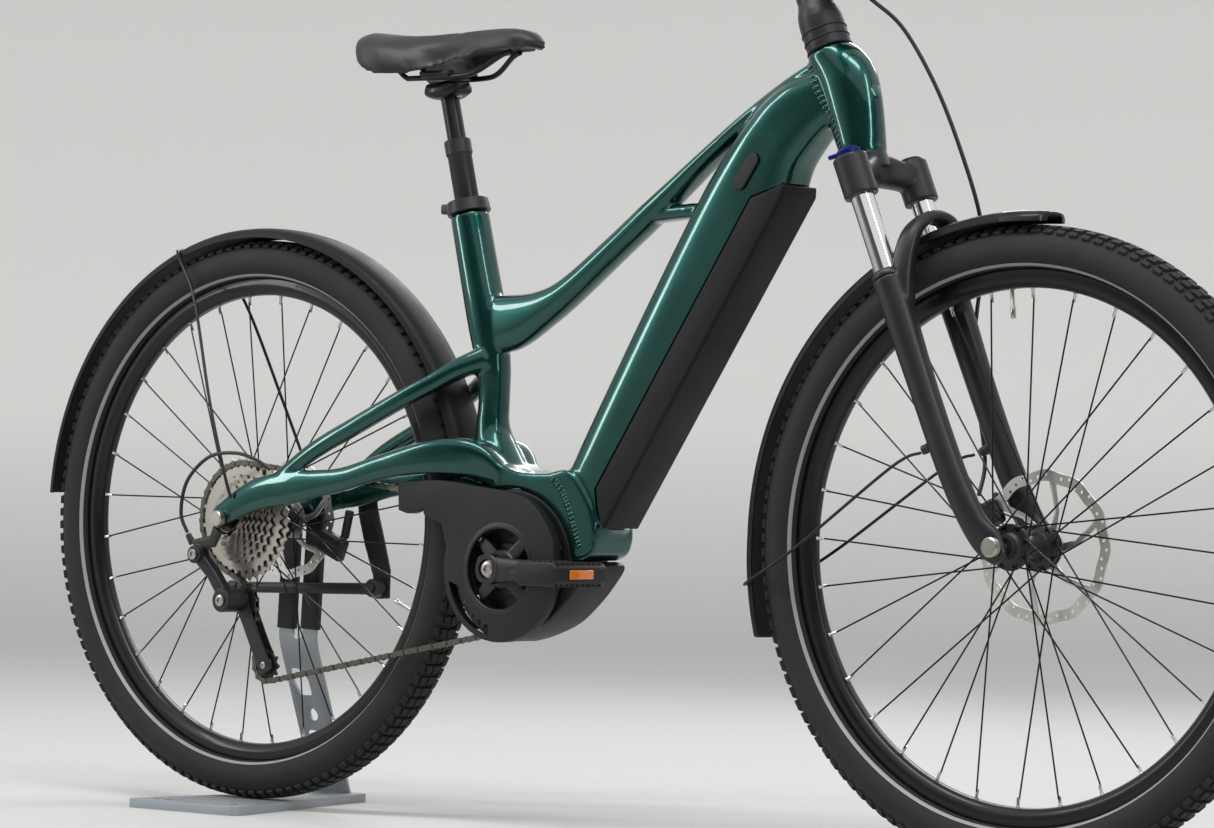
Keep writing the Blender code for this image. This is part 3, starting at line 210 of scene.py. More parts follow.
@dataclass(frozen=True)
class Finish:
    """One real material with the surface it has.

    Attributes:
        name: the material's common name.
        colour: sRGB hex code of its body colour.
        second: sRGB hex code that the pattern mixes in.
        surface: how the surface was made.
        metallic: 0 for plastics and rubber, 1 for bare metal.
        roughness: 0 for a mirror, 1 for chalk.
        coat: strength of a clear lacquer on top.
        grain: size of the pattern in millimetres.
        relief: height of the pattern in millimetres.
        specular: reflection at right angles, 0.5 for most plastics.
    """

    name: str
    colour: str
    second: str
    surface: Surface
    metallic: float = 0.0
    roughness: float = 0.5
    coat: float = 0.0
    grain: float = 1.0
    relief: float = 0.02
    specular: float = 0.5

    def make(self) -> bpy.types.Material:
        """Builds the material's nodes, or returns it if it is already there.

        Returns:
            The material.
        """
        known = bpy.data.materials.get(self.name)
        if known:
            return known
        material = bpy.data.materials.new(self.name)
        material.use_nodes = True
        tree = material.node_tree
        shader = tree.nodes["Principled BSDF"]
        place = add_node(tree, "ShaderNodeTexCoord").outputs["Object"]
        if self.surface is Surface.BRUSHED:
            stretched = add_node(tree, "ShaderNodeMapping", inputs={"Vector": place, "Scale": (1, 8, 1)})
            place = stretched.outputs["Vector"]
        fine = add_node(tree, "ShaderNodeTexNoise",
                        inputs={"Vector": place, "Scale": 1000 / self.grain, "Detail": 3.0,
                                "Roughness": 0.6}).outputs["Fac"]
        broad = add_node(tree, "ShaderNodeTexNoise",
                         inputs={"Vector": place, "Scale": 1000 / 70.0, "Detail": 2.0}).outputs["Fac"]
        pattern = fine
        if self.surface in (Surface.FLAKE, Surface.LEATHERETTE):
            cells = add_node(tree, "ShaderNodeTexVoronoi",
                             inputs={"Vector": place, "Scale": 1000 / self.grain})
            pattern = cells.outputs["Distance"]
        share = add_node(tree, "ShaderNodeMapRange",
                         inputs={"Value": pattern, "From Min": 0.3, "From Max": 0.75,
                                 "To Min": 0.0, "To Max": 0.85}).outputs["Result"]
        colour = add_node(tree, "ShaderNodeMix", {"data_type": "RGBA"},
                          {0: share, 6: linear(self.colour), 7: linear(self.second)}).outputs[2]
        shine = add_node(tree, "ShaderNodeMapRange",
                         inputs={"Value": broad, "From Min": 0.3, "From Max": 0.7,
                                 "To Min": max(0.02, self.roughness - 0.05),
                                 "To Max": min(1.0, self.roughness + 0.06)}).outputs["Result"]
        if self.relief:
            bump = add_node(tree, "ShaderNodeBump",
                            inputs={"Strength": 1.0, "Distance": self.relief * MM, "Height": pattern})
            tree.links.new(bump.outputs["Normal"], shader.inputs["Normal"])
        tree.links.new(colour, shader.inputs["Base Color"])
        tree.links.new(shine, shader.inputs["Roughness"])
        shader.inputs["Metallic"].default_value = self.metallic
        shader.inputs["Specular IOR Level"].default_value = self.specular
        shader.inputs["Coat Weight"].default_value = self.coat
        shader.inputs["Coat Roughness"].default_value = 0.03
        return material


# Baked enamel: aluminium flake in dark teal under clear lacquer, which gives sharp white lights on a deep tone
TEAL = Finish("teal_flake_enamel", "#003A35", "#004D46", Surface.FLAKE, 0.85, 0.24, 0.8, 0.8, 0.0)
# Powder-coated magnesium and aluminium: charcoal, softly shining
CHARCOAL = Finish("charcoal_powder_coat", "#1D1E21", "#151618", Surface.SATIN, 0.2, 0.4, 0.0, 0.8, 0.012)
# Anodised and polished black rim: near black with clear lights
RIM_BLACK = Finish("black_anodised_rim", "#0B0C0E", "#141518", Surface.SATIN, 0.5, 0.34, 0.15, 0.6, 0.003)
# Glass-filled nylon: matte black with a fine eroded grain
NYLON = Finish("black_nylon", "#101113", "#17181A", Surface.MOULDED, 0.0, 0.5, 0.0, 0.7, 0.03, 0.35)
# ABS cover with a coarser grain that looks brushed in low light
ABS = Finish("black_abs", "#0B0C0E", "#111214", Surface.MOULDED, 0.0, 0.5, 0.0, 0.5, 0.02, 0.22)
# Natural and carbon-black rubber
TYRE_RUBBER = Finish("vulcanised_tread_rubber", "#1F1F1F", "#2A2A29", Surface.RUBBER, 0.0, 0.72, 0.0, 1.6, 0.05, 0.3)
HOSE_RUBBER = Finish("hose_rubber", "#0E0F10", "#18191A", Surface.RUBBER, 0.0, 0.4, 0.0, 0.8, 0.01)
GRIP_RUBBER = Finish("grip_rubber", "#151617", "#202122", Surface.RUBBER, 0.0, 0.72, 0.0, 1.2, 0.12)
# Reflective band moulded into the sidewall
BAND_GREY = Finish("reflective_band", "#9A9C9C", "#868888", Surface.RUBBER, 0.1, 0.5, 0.0, 0.6, 0.01)
# Hard chrome on steel tube: a mirror
CHROME = Finish("hard_chrome", "#E4E6E8", "#D8DADC", Surface.POLISHED, 1.0, 0.07, 0.0, 2.0, 0.0)
# Stamped, nickel-plated steel of cogs, chain and discs
NICKEL = Finish("nickel_plated_steel", "#B8B4AC", "#938F88", Surface.BRUSHED, 1.0, 0.32, 0.0, 0.8, 0.01)
# Heat-treated chain plates: darker steel that lets each link read
CHAIN_STEEL = Finish("chain_plate_steel", "#6C6862", "#4A4743", Surface.BRUSHED, 1.0, 0.34, 0.0, 0.8, 0.01)
STAINLESS = Finish("stainless_disc", "#DAD8D5", "#C2C0BD", Surface.BRUSHED, 1.0, 0.36, 0.0, 0.6, 0.008)
BRASS_NIPPLE = Finish("plated_nipple", "#C9C9C6", "#ABABA8", Surface.POLISHED, 1.0, 0.2, 0.0, 0.5, 0.0)
# Black oxide on drawn steel wire
SPOKE_BLACK = Finish("black_oxide_wire", "#131416", "#1C1D1F", Surface.SATIN, 0.7, 0.32, 0.0, 0.5, 0.0)
# Powder-coated steel plate of the stand
STAND_GREY = Finish("grey_coated_plate", "#9EA4A9", "#8F959A", Surface.GALVANISED, 0.35, 0.42, 0.0, 0.9, 0.03)
# Polyurethane saddle cover with a fine pebble grain
SADDLE_SKIN = Finish("saddle_leatherette", "#141516", "#1E1F21", Surface.LEATHERETTE, 0.0, 0.46, 0.0, 1.1, 0.05)
AMBER = Finish("amber_reflector", "#D8741A", "#B4560C", Surface.MOULDED, 0.0, 0.18, 1.0, 2.0, 0.1)
BLUE = Finish("blue_anodised", "#17267F", "#101B60", Surface.SATIN, 0.8, 0.28, 0.0, 0.5, 0.002)
GUARD_EDGE = Finish("grey_nylon_edge", "#8B8F95", "#7A7E84", Surface.MOULDED, 0.0, 0.4, 0.0, 0.7, 0.02)
BADGE = Finish("enamelled_badge", "#1B4A44", "#2A5F57", Surface.MOULDED, 0.3, 0.3, 0.4, 2.5, 0.0)
SCREEN = Finish("display_glass", "#0A0B0D", "#101215", Surface.POLISHED, 0.0, 0.08, 0.6, 3.0, 0.0)
WHITE_FLOOR = Finish("studio_floor", "#C4C4C3", "#C0C0BF", Surface.SATIN, 0.0, 0.7, 0.0, 40.0, 0.0, 0.15)


# ---------------------------------------------------------------- workbench
def select_only(obj: bpy.types.Object) -> None:
    """Deselects everything, then selects one object and makes it active."""
    for other in bpy.context.view_layer.objects:
        other.select_set(False)
    obj.select_set(True)
    bpy.context.view_layer.objects.active = obj


def from_mesh(mesh: bpy.types.Mesh) -> bpy.types.Object:
    """Links a new object that holds a mesh."""
    obj = bpy.data.objects.new("shape", mesh)
    bpy.context.collection.objects.link(obj)
    return obj


def from_bmesh(bm: bmesh.types.BMesh) -> bpy.types.Object:
    """Turns a bmesh into an object with outward faces."""
    bmesh.ops.recalc_face_normals(bm, faces=bm.faces)
    mesh = bpy.data.meshes.new("shape")
    bm.to_mesh(mesh)
    bm.free()
    return from_mesh(mesh)


def loft(rings: Sequence[Sequence[Sequence[float]]], closed: bool = False) -> bpy.types.Object:
    """Skin through rings with equal numbers of points.

    Args:
        rings: the rings in order.
        closed: whether the last ring joins the first, as in a loop.

    Returns:
        The object; an open row of rings gets end caps.
    """
    width = len(rings[0])
    verts = [tuple(p) for ring in rings for p in ring]
    faces = []
    spans = len(rings) if closed else len(rings) - 1
    for i in range(spans):
        low, high = i * width, ((i + 1) % len(rings)) * width
        for k in range(width):
            n = (k + 1) % width
            faces.append((low + k, low + n, high + n, high + k))
    if not closed:
        faces.append(tuple(range(width)))
        faces.append(tuple(range((len(rings) - 1) * width, len(rings) * width)))
    mesh = bpy.data.meshes.new("shape")
    mesh.from_pydata(verts, [], faces)
    bm = bmesh.new()
    bm.from_mesh(mesh)
    bpy.data.meshes.remove(mesh)
    return from_bmesh(bm)


def section(centre: Vector, flank: Vector, across: Vector, a: float, b: float, power: float,
            count: int) -> list[Vector]:
    """Superellipse ring round a centre."""
    ring = []
    for k in range(count):
        angle = 2 * math.pi * (k + 0.5) / count
        c, s = math.cos(angle), math.sin(angle)
        ring.append(centre + flank * (a * math.copysign(abs(c) ** (2 / power), c))
                    + across * (b * math.copysign(abs(s) ** (2 / power), s)))
    return ring


def sweep(path: Sequence[Sequence[float]], power: float = 2.0, count: int = 32, side: Point = (0, 1, 0),
          dome: float = 0.0) -> bpy.types.Object:
    """Tube through stations of place, half size along side and half size across it.

    Args:
        path: stations (x, y, z, a, b).
        power: 2 for an ellipse, more for a rounded box.
        count: points round each ring.
        side: direction of the first half size.
        dome: length over which both ends are rounded off.

    Returns:
        The tube.
    """
    side_v = Vector(side)
    last = len(path) - 1
    rings = []
    for i, station in enumerate(path):
        before, after = path[max(i - 1, 0)], path[min(i + 1, last)]
        tangent = (Vector(after[:3]) - Vector(before[:3])).normalized()
        across = tangent.cross(side_v).normalized()
        flank = across.cross(tangent)
        lips = [(0.0, 0.45), (0.12, 0.72), (0.42, 0.93), (1.0, 1.0)] if dome and i in (0, last) else [(0.0, 1.0)]
        inward = tangent * (dome if i == 0 else -dome)
        for depth, share in lips if i == 0 else reversed(lips):
            rings.append(section(Vector(station[:3]) + inward * depth, flank, across, station[3] * share,
                                 station[4] * share, power, count))
    return loft(rings)


def rod(start: Sequence[float], end: Sequence[float], radius: float, count: int = 32,
        end_radius: float | None = None) -> bpy.types.Object:
    """Straight round bar between two points."""
    a, b = Vector(start), Vector(end)
    direction = (b - a).normalized()
    side = (0, 1, 0) if abs(direction.y) < 0.9 else (1, 0, 0)
    tip = radius if end_radius is None else end_radius
    return sweep([(*a, radius, radius), (*b, tip, tip)], count=count, side=side)


def turned(profile: Sequence[Flat], centre: Sequence[float] = (0, 0, 0), direction: Sequence[float] = (0, 1, 0),
           count: int = 64) -> bpy.types.Object:
    """Solid of revolution from (radius, height) points, spun in edit mode.

    Args:
        profile: closed outline.
        centre: a point on the axis.
        direction: the axis.
        count: steps of the spin.

    Returns:
        The turned shape.
    """
    axis = Vector(direction).normalized()
    helper = Vector((1, 0, 0)) if abs(axis.x) < 0.9 else Vector((0, 0, 1))
    out = (helper - axis * helper.dot(axis)).normalized()
    places = [Vector(centre) + out * r + axis * h for r, h in profile]
    mesh = bpy.data.meshes.new("shape")
    count_p = len(places)
    mesh.from_pydata(places, [(i, (i + 1) % count_p) for i in range(count_p)], [])
    obj = from_mesh(mesh)
    select_only(obj)
    bpy.ops.object.mode_set(mode="EDIT")
    bpy.ops.mesh.select_all(action="SELECT")
    bpy.ops.mesh.spin(steps=count, angle=2 * math.pi, center=tuple(centre), axis=tuple(axis))
    bpy.ops.mesh.select_all(action="SELECT")
    bpy.ops.mesh.remove_doubles(threshold=0.005)
    bpy.ops.mesh.normals_make_consistent(inside=False)
    bpy.ops.object.mode_set(mode="OBJECT")
    return obj


def bevel_edges(obj: bpy.types.Object, width: float, segments: int = 2, angle: float = 40.0) -> bpy.types.Object:
    """Rounds every edge sharper than an angle, with an applied modifier."""
    modifier = obj.modifiers.new("bevel", "BEVEL")
    modifier.width = width
    modifier.segments = segments
    modifier.limit_method = "ANGLE"
    modifier.angle_limit = math.radians(angle)
    modifier.use_clamp_overlap = True
    select_only(obj)
    bpy.ops.object.modifier_apply(modifier=modifier.name)
    return obj


def prism(outline: Sequence[Flat], low: float, high: float, bevel: float = 0.0,
          segments: int = 2) -> bpy.types.Object:
    """Plate with a side-view outline, extruded from y = low to y = high.

    Args:
        outline: (x, z) points in order.
        low: first y.
        high: second y.
        bevel: rounding of the sharp edges.
        segments: steps of that rounding.

    Returns:
        The plate.
    """
    mesh = bpy.data.meshes.new("shape")
    mesh.from_pydata([(x, low, z) for x, z in outline], [], [tuple(range(len(outline)))])
    obj = from_mesh(mesh)
    select_only(obj)
    bpy.ops.object.mode_set(mode="EDIT")
    bpy.ops.mesh.select_all(action="SELECT")
    bpy.ops.mesh.extrude_region_move(TRANSFORM_OT_translate={"value": (0, high - low, 0)})
    bpy.ops.mesh.select_all(action="SELECT")
    bpy.ops.mesh.normals_make_consistent(inside=False)
    bpy.ops.object.mode_set(mode="OBJECT")
    return bevel_edges(obj, bevel, segments) if bevel else obj


def block(size: Point, place: Sequence[float], turn: Matrix | None = None, bevel: float = 0.0,
          segments: int = 3) -> bpy.types.Object:
    """Box of full sizes, turned about its centre, with rounded edges."""
    bpy.ops.mesh.primitive_cube_add(size=1.0)
    obj = bpy.context.active_object
    rotation = turn.to_4x4() if turn else Matrix.Identity(4)
    obj.data.transform(Matrix.Diagonal((*size, 1.0)))
    if bevel:
        bevel_edges(obj, bevel, segments)
    obj.data.transform(Matrix.Translation(place) @ rotation)
    return obj


def carve(target: bpy.types.Object, tool: bpy.types.Object, operation: str = "DIFFERENCE") -> bpy.types.Object:
    """Applies one exact Boolean and removes the tool."""
    modifier = target.modifiers.new("boolean", "BOOLEAN")
    modifier.operation = operation
    modifier.object = tool
    modifier.solver = "EXACT"
    select_only(target)
    bpy.ops.object.modifier_apply(modifier=modifier.name)
    bpy.data.objects.remove(tool)
    return target


def union(target: bpy.types.Object, *others: bpy.types.Object) -> bpy.types.Object:
    """Welds shapes into the first."""
    for other in others:
        carve(target, other, "UNION")
    return target


def gather(shapes: Iterable[bpy.types.Object]) -> bpy.types.Object:
    """Joins shapes that only lie beside each other into one object."""
    bm = bmesh.new()
    for shape in shapes:
        bm.from_mesh(shape.data)
        bpy.data.objects.remove(shape)
    mesh = bpy.data.meshes.new("shape")
    bm.to_mesh(mesh)
    bm.free()
    return from_mesh(mesh)


def copied(shape: bpy.types.Object, matrix: Matrix) -> bpy.types.Object:
    """Copy of a shape with its own mesh, moved by a matrix."""
    mesh = shape.data.copy()
    mesh.transform(matrix)
    if matrix.determinant() < 0:
        mesh.flip_normals()
    return from_mesh(mesh)


def mirrored(shape: bpy.types.Object) -> bpy.types.Object:
    """Copy on the bicycle's other side."""
    return copied(shape, Matrix.Diagonal((1, -1, 1, 1)))


def hose(points: Sequence[Point], radius: float, per_span: int = 8, sides: int = 12) -> bpy.types.Object:
    """Round tube on a smooth curve through points."""
    route = smooth_path(points, per_span)
    rings = []
    normal = Vector((0, 1, 0.13)).normalized()
    for i, place in enumerate(route):
        before, after = Vector(route[max(i - 1, 0)]), Vector(route[min(i + 1, len(route) - 1)])
        tangent = (after - before).normalized()
        normal = (normal - tangent * normal.dot(tangent)).normalized()
        across = tangent.cross(normal)
        rings.append([Vector(place) + (normal * math.cos(a) + across * math.sin(a)) * radius
                      for a in (2 * math.pi * k / sides for k in range(sides))])
    return loft(rings)


def remeshed(obj: bpy.types.Object, voxel: float, smooth: int, factor: float = 0.5) -> bpy.types.Object:
    """Voxel remesh that welds overlapping shapes, then smoothing that leaves fillets."""
    modifier = obj.modifiers.new("remesh", "REMESH")
    modifier.mode = "VOXEL"
    modifier.voxel_size = voxel
    select_only(obj)
    bpy.ops.object.modifier_apply(modifier=modifier.name)
    if smooth:
        relax = obj.modifiers.new("smooth", "SMOOTH")
        relax.factor = factor
        relax.iterations = smooth
        bpy.ops.object.modifier_apply(modifier=relax.name)
    return obj


@dataclass
class Workbench:
    """Places finished shapes over the ground and hands them to the frame.

    Attributes:
        packed: the loaded frame, with its nodes and its record.
    """

    packed: dict

    def __post_init__(self) -> None:
        """Reads the rear axle's place, from which the whole side view hangs."""
        joints = {joint["name"]: joint for joint in self.packed["record"]["behaviour"]["joints"]}
        axle = Vector(joints["rear_wheel_spin"]["pos_m"])
        self.bike = Matrix.Translation(axle) @ Matrix.Rotation(PITCH, 4, "Y") @ Matrix.Scale(MM, 4)
        self.ground = Matrix.Translation(axle) @ Matrix.Scale(MM, 4)

    def finish(self, shape: bpy.types.Object, name: str, body: str, finish: Finish,
               replaces: Sequence[str] = (), level: bool = False, sharp: float = 35.0) -> bpy.types.Object:
        """Moves a shape to its real place and size, dresses it and hangs it on its body.

        Args:
            shape: drawn in millimetres.
            name: the piece's name.
            body: the CAD body that carries it.
            finish: its material.
            replaces: CAD nodes that it stands for.
            level: whether it stands on the ground, as the stand does.
            sharp: edges above this angle stay crisp.

        Returns:
            The piece.
        """
        shape.data.transform(self.ground if level else self.bike)
        shape.name = shape.data.name = name
        shape.data.materials.clear()
        shape.data.materials.append(finish.make())
        shape.data.shade_smooth()
        if sharp:
            shape.data.set_sharp_from_angle(angle=math.radians(sharp))
        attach(shape, body)
        if replaces:
            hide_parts(*replaces)
        LOG.info("%s: %d faces on %s", name, len(shape.data.polygons), body)
        return shape

    def node_copy(self, node: str) -> bpy.types.Object:
        """Merged copy of a CAD node in side-view millimetres, ready to be refined."""
        source = self.packed["nodes"][node]
        bm = bmesh.new()
        bm.from_mesh(source.data)
        bmesh.ops.remove_doubles(bm, verts=bm.verts[:], dist=0.00001)
        bmesh.ops.dissolve_limit(bm, angle_limit=math.radians(1.0), verts=bm.verts[:], edges=bm.edges[:])
        shape = from_bmesh(bm)
        shape.data.materials.clear()
        shape.data.transform(self.bike.inverted())
        return shape

    def refine(self, node: str, body: str, finish: Finish, bevel: float = 0.8) -> bpy.types.Object:
        """Stands a copy with rounded edges in a CAD node's place."""
        shape = bevel_edges(self.node_copy(node), bevel, 2, 30.0)
        return self.finish(shape, f"{node}_fine", body, finish, (node,), sharp=30.0)


def bolt(place: Sequence[float], direction: Sequence[float], radius: float, height: float) -> bpy.types.Object:
    """Cap-head bolt with a hexagon socket."""
    head = turned([(0, 0), (radius, 0), (radius, height * 0.75), (radius * 0.86, height), (radius * 0.5, height),
                   (radius * 0.5, height * 0.3), (0, height * 0.3)], place, direction, 24)
    return head


def toothed(centre: Flat, teeth: int, root: float, tip: float, low: float, high: float, phase: float,
            bore: float) -> bpy.types.Object:
    """Toothed wheel in the side view.

    Args:
        centre: its axis.
        teeth: how many teeth.
        root: radius between teeth.
        tip: radius at the teeth.
        low: y of one face.
        high: y of the other.
        phase: turn of the first tooth, degrees.
        bore: radius of the hole.

    Returns:
        The wheel.
    """
    step = 360 / teeth
    shares = ((-0.5, root), (-0.3, root + (tip - root) * 0.18), (-0.16, root + (tip - root) * 0.75),
              (-0.06, tip), (0.06, tip), (0.16, root + (tip - root) * 0.75), (0.3, root + (tip - root) * 0.18))
    outer = [polar(centre, radius, phase + step * (i + share)) for i in range(teeth) for share, radius in shares]
    inner = [polar(centre, bore, phase + step * (i + share)) for i in range(teeth) for share, _ in shares]
    count = len(outer)
    rings = [[(x, low, z) for x, _, z in inner], [(x, low, z) for x, _, z in outer],
             [(x, high, z) for x, _, z in outer], [(x, high, z) for x, _, z in inner]]
    verts = [p for ring in rings for p in ring]
    faces = [(a * count + k, a * count + (k + 1) % count, b * count + (k + 1) % count, b * count + k)
             for a, b in ((0, 1), (1, 2), (2, 3), (3, 0)) for k in range(count)]
    mesh = bpy.data.meshes.new("shape")
    mesh.from_pydata(verts, [], faces)
    bm = bmesh.new()
    bm.from_mesh(mesh)
    bpy.data.meshes.remove(mesh)
    return from_bmesh(bm)


# ---------------------------------------------------------------- wheels
@dataclass
class Wheel:
    """Tyre, rim, spokes, hub and brake disc of one wheel.

    Attributes:
        bench: the workbench.
        end: rear or front, used in the pieces' names.
        x: the axle's place.
        body: the CAD body.
        phase: turn of the first spoke at the rim, degrees.
        flanges: y of both hub flanges.
        flange_radius: spoke heads' circle.
        barrel: hub shell's profile.
        disc_y: brake disc's place.
        disc_radius: its radius.
    """

    bench: Workbench
    end: str
    x: float
    body: str
    phase: float
    flanges: Flat
    flange_radius: float
    barrel: list[Flat]
    disc_y: float
    disc_radius: float
    valve_gap: float = 6.5
    casing_radius: float = 364.2
    blocks_round: int = 132
    rim_inner: float = 296.0
    rim_outer: float = 318.0
    wire_radius: float = 1.05
    lacing: float = 62.0

    def build(self) -> None:
        """Builds the whole wheel."""
        self.tyre()
        self.rim()
        self.spokes()
        self.disc()

    def casing(self, offset: float) -> list[Flat]:
        """Half of the casing's outer profile, pushed outwards by an offset."""
        top = self.casing_radius
        half = [(top, 0.0), (top - 0.4, 8.0), (top - 2.2, 14.5), (top - 6.0, 20.5), (top - 12, 25.3),
                (top - 20, 28.4), (top - 28, 28.9), (top - 36, 26.4), (top - 42, 21.5), (top - 45.5, 15.0),
                (318.3, 11.9)]
        middle = Vector((336.0, 0.0))
        pushed = []
        for radius, y in half:
            out = (Vector((radius, y)) - middle).normalized()
            pushed.append((radius + out.x * offset, y + out.y * offset))
        return pushed

    def tyre(self) -> None:
        """Casing with three rows of tread blocks and a light band on each sidewall."""
        outer = self.casing(0.0)
        inner = [(318.2, 9.9), (311.5, 9.3), (311.5, 6.0), (324.0, 15.0), (338.0, 24.8), (350.0, 22.5),
                 (359.0, 12.0), (360.5, 0.0)]
        half = outer + inner
        profile = half[:-1] + [(360.5, 0.0)] + [(r, -y) for r, y in reversed(half[1:-1])]
        casing = turned(profile, (self.x, 0, 0), count=160)
        shapes = [casing]
        step = 360 / self.blocks_round
        tread = TYRE_RADIUS - self.casing_radius
        kinds = ((0.0, 5.2, 6.2, 0.0, 14.0), (11.4, 4.3, 5.6, 7.0, -10.0), (-11.4, 4.3, 5.6, -7.0, 10.0),
                 (20.4, 3.2, 5.2, 24.0, 0.0), (-20.4, 3.2, 5.2, -24.0, 0.0))
        for row, (y, half_y, half_x, roll, skew) in enumerate(kinds):
            lean = math.radians(roll * 1.6)
            knob = block((half_x * 2, half_y * 2, 4.4), (0, 0, 0), bevel=0.55, segments=1)
            knob.data.transform(Matrix.Rotation(math.radians(skew), 4, "Z"))
            drop = {0.0: 0.0, 11.4: 1.0, 20.4: 5.6}[abs(y)]
            for i in range(self.blocks_round):
                angle = math.radians((i + 0.5 * (row % 2)) * step)
                lift = self.casing_radius + tread - 2.25 - drop
                place = (Matrix.Translation((self.x, 0, 0)) @ Matrix.Rotation(angle, 4, "Y")
                         @ Matrix.Translation((0, y, lift)) @ Matrix.Rotation(-lean, 4, "X"))
                shapes.append(copied(knob, place))
            bpy.data.objects.remove(knob)
        self.bench.finish(gather(shapes), f"{self.end}_tyre_tread", self.body, TYRE_RUBBER,
                          (f"{self.end}_tyre",), sharp=28)
        strips = []
        low, high = self.casing(0.05), self.casing(0.45)
        for side in (-1, 1):
            span = [(r, y * side) for r, y in smooth_path(low[7:10], 5)]
            back = [(r, y * side) for r, y in smooth_path(high[7:10], 5)]
            strips.append(turned(back[4:8] + span[4:8][::-1], (self.x, 0, 0), count=160))
        self.bench.finish(gather(strips), f"{self.end}_tyre_band", self.body, BAND_GREY, sharp=50)

    def rim(self) -> None:
        """Hollow-section rim with its nipples and valve."""
        half = [(self.rim_inner, 3.6), (self.rim_inner + 0.8, 6.2), (299.2, 8.8), (303.2, 11.3), (306.5, 12.3),
                (317.0, 12.5), (self.rim_outer, 11.9), (self.rim_outer, 10.7), (310.2, 10.1), (309.0, 9.4)]
        profile = half + [(r, -y) for r, y in reversed(half)]
        rim = turned(profile, (self.x, 0, 0), count=160)
        self.bench.finish(rim, f"{self.end}_rim_section", self.body, RIM_BLACK, (f"{self.end}_rim",), sharp=40)
        nipples = []
        for i in range(SPOKES):
            out = Vector(polar((0, 0), 1.0, self.phase - i * 360 / SPOKES))
            foot = Vector((self.x, 0, 0)) + out * (self.rim_inner - 11.5)
            nipples.append(turned([(0, 0), (1.6, 0), (1.9, 2), (1.9, 9), (2.9, 11), (0, 11.6)], foot, out, 8))
        out = Vector(polar((0, 0), 1.0, self.phase - self.valve_gap * 360 / SPOKES))
        foot = Vector((self.x, 0, 0)) + out * (self.rim_inner - 34)
        nipples.append(turned([(0, 0), (2.4, 0), (3.1, 2), (3.1, 14), (2.5, 15), (2.5, 33), (4.2, 33), (4.2, 35),
                               (0, 35)], foot, out, 12))
        self.bench.finish(gather(nipples), f"{self.end}_nipples", self.body, BRASS_NIPPLE)

    def spokes(self) -> None:
        """Crossed spokes with hooked heads, and the hub shell they hang in."""
        wires = []
        for i in range(SPOKES):
            side = 1 if i % 2 else -1
            trailing = 1 if (i // 2) % 2 else -1
            rim_angle = self.phase - i * 360 / SPOKES
            hub_angle = rim_angle + trailing * self.lacing
            flange = abs(self.flanges[0 if side < 0 else 1])
            head_y = side * (flange + trailing * 2.4)
            head = Vector(polar((self.x, 0), self.flange_radius, hub_angle, head_y))
            foot = Vector(polar((self.x, 0), self.rim_inner - 8.0, rim_angle, side * 2.0))
            wires.append(rod(head, foot, self.wire_radius, 8))
            back = head - Vector((0, side * trailing * 4.8, 0))
            wires.append(rod(back, head + Vector((0, side * trailing * 0.6, 0)), self.wire_radius, 8))
            wires.append(turned([(0, 0), (2.1, 0.2), (1.9, 0.9), (0, 1.3)], back,
                                (0, -side * trailing, 0), 8))
        self.bench.finish(gather(wires), f"{self.end}_spokes", self.body, SPOKE_BLACK,
                          (f"{self.end}_hub_and_spokes",))
        shell = turned(self.barrel, (self.x, 0, 0), count=72)
        self.bench.finish(bevel_edges(shell, 0.7, 2, 30), f"{self.end}_hub_shell", self.body, CHARCOAL)

    def disc(self) -> None:
        """Wavy steel brake disc with drilled holes, on six arms, and its bolts."""
        outline = []
        for i in range(216):
            wave = 1.3 * math.cos(math.radians(i * 360 / 216 * 12))
            outline.append(polar((self.x, 0), self.disc_radius - 1.4 + wave, i * 360 / 216, 0))
        inner = [polar((self.x, 0), self.disc_radius - 14.5 + 1.2 * math.cos(math.radians(i * 20)),
                       i * 360 / 216, 0) for i in range(216)]
        count = len(outline)
        y0, y1 = self.disc_y - 0.9, self.disc_y + 0.9
        rings = [[(x, y0, z) for x, _, z in inner], [(x, y0, z) for x, _, z in outline],
                 [(x, y1, z) for x, _, z in outline], [(x, y1, z) for x, _, z in inner]]
        mesh = bpy.data.meshes.new("shape")
        mesh.from_pydata([p for ring in rings for p in ring], [],
                         [(a * count + k, a * count + (k + 1) % count, b * count + (k + 1) % count, b * count + k)
                          for a, b in ((0, 1), (1, 2), (2, 3), (3, 0)) for k in range(count)])
        bm = bmesh.new()
        bm.from_mesh(mesh)
        ring = from_bmesh(bm)
        drills = []
        for i in range(48):
            radius = self.disc_radius - (5.2, 8.2, 11.0)[i % 3]
            place = polar((self.x, 0), radius, i * 7.5, self.disc_y)
            drills.append(rod((place[0], y0 - 2, place[2]), (place[0], y1 + 2, place[2]), 1.9, 10))
        carve(ring, gather(drills))
        spider = turned([(17.8, self.disc_y - 1.4), (17.8, self.disc_y + 1.4), (26, self.disc_y + 1.4),
                         (26, self.disc_y - 1.4)], (self.x, 0, 0), count=72)
        union(ring, spider)
        for i in range(6):
            arm = sweep([(*polar((self.x, 0), 23, i * 60, self.disc_y), 0.85, 5.2),
                         (*polar((self.x, 0), 45, i * 60 + 9, self.disc_y), 0.85, 3.4),
                         (*polar((self.x, 0), self.disc_radius - 9, i * 60 + 24, self.disc_y), 0.85, 4.4)],
                        power=6, count=8)
            union(ring, arm)
        self.bench.finish(ring, f"{self.end}_disc", self.body, STAINLESS, (f"{self.end}_rotor",), sharp=30)
        heads = [bolt(polar((self.x, 0), 22, i * 60 + 15, self.disc_y + 1.3), (0, 1, 0), 3.6, 2.4) for i in range(6)]
        self.bench.finish(gather(heads), f"{self.end}_disc_bolts", self.body, NICKEL)


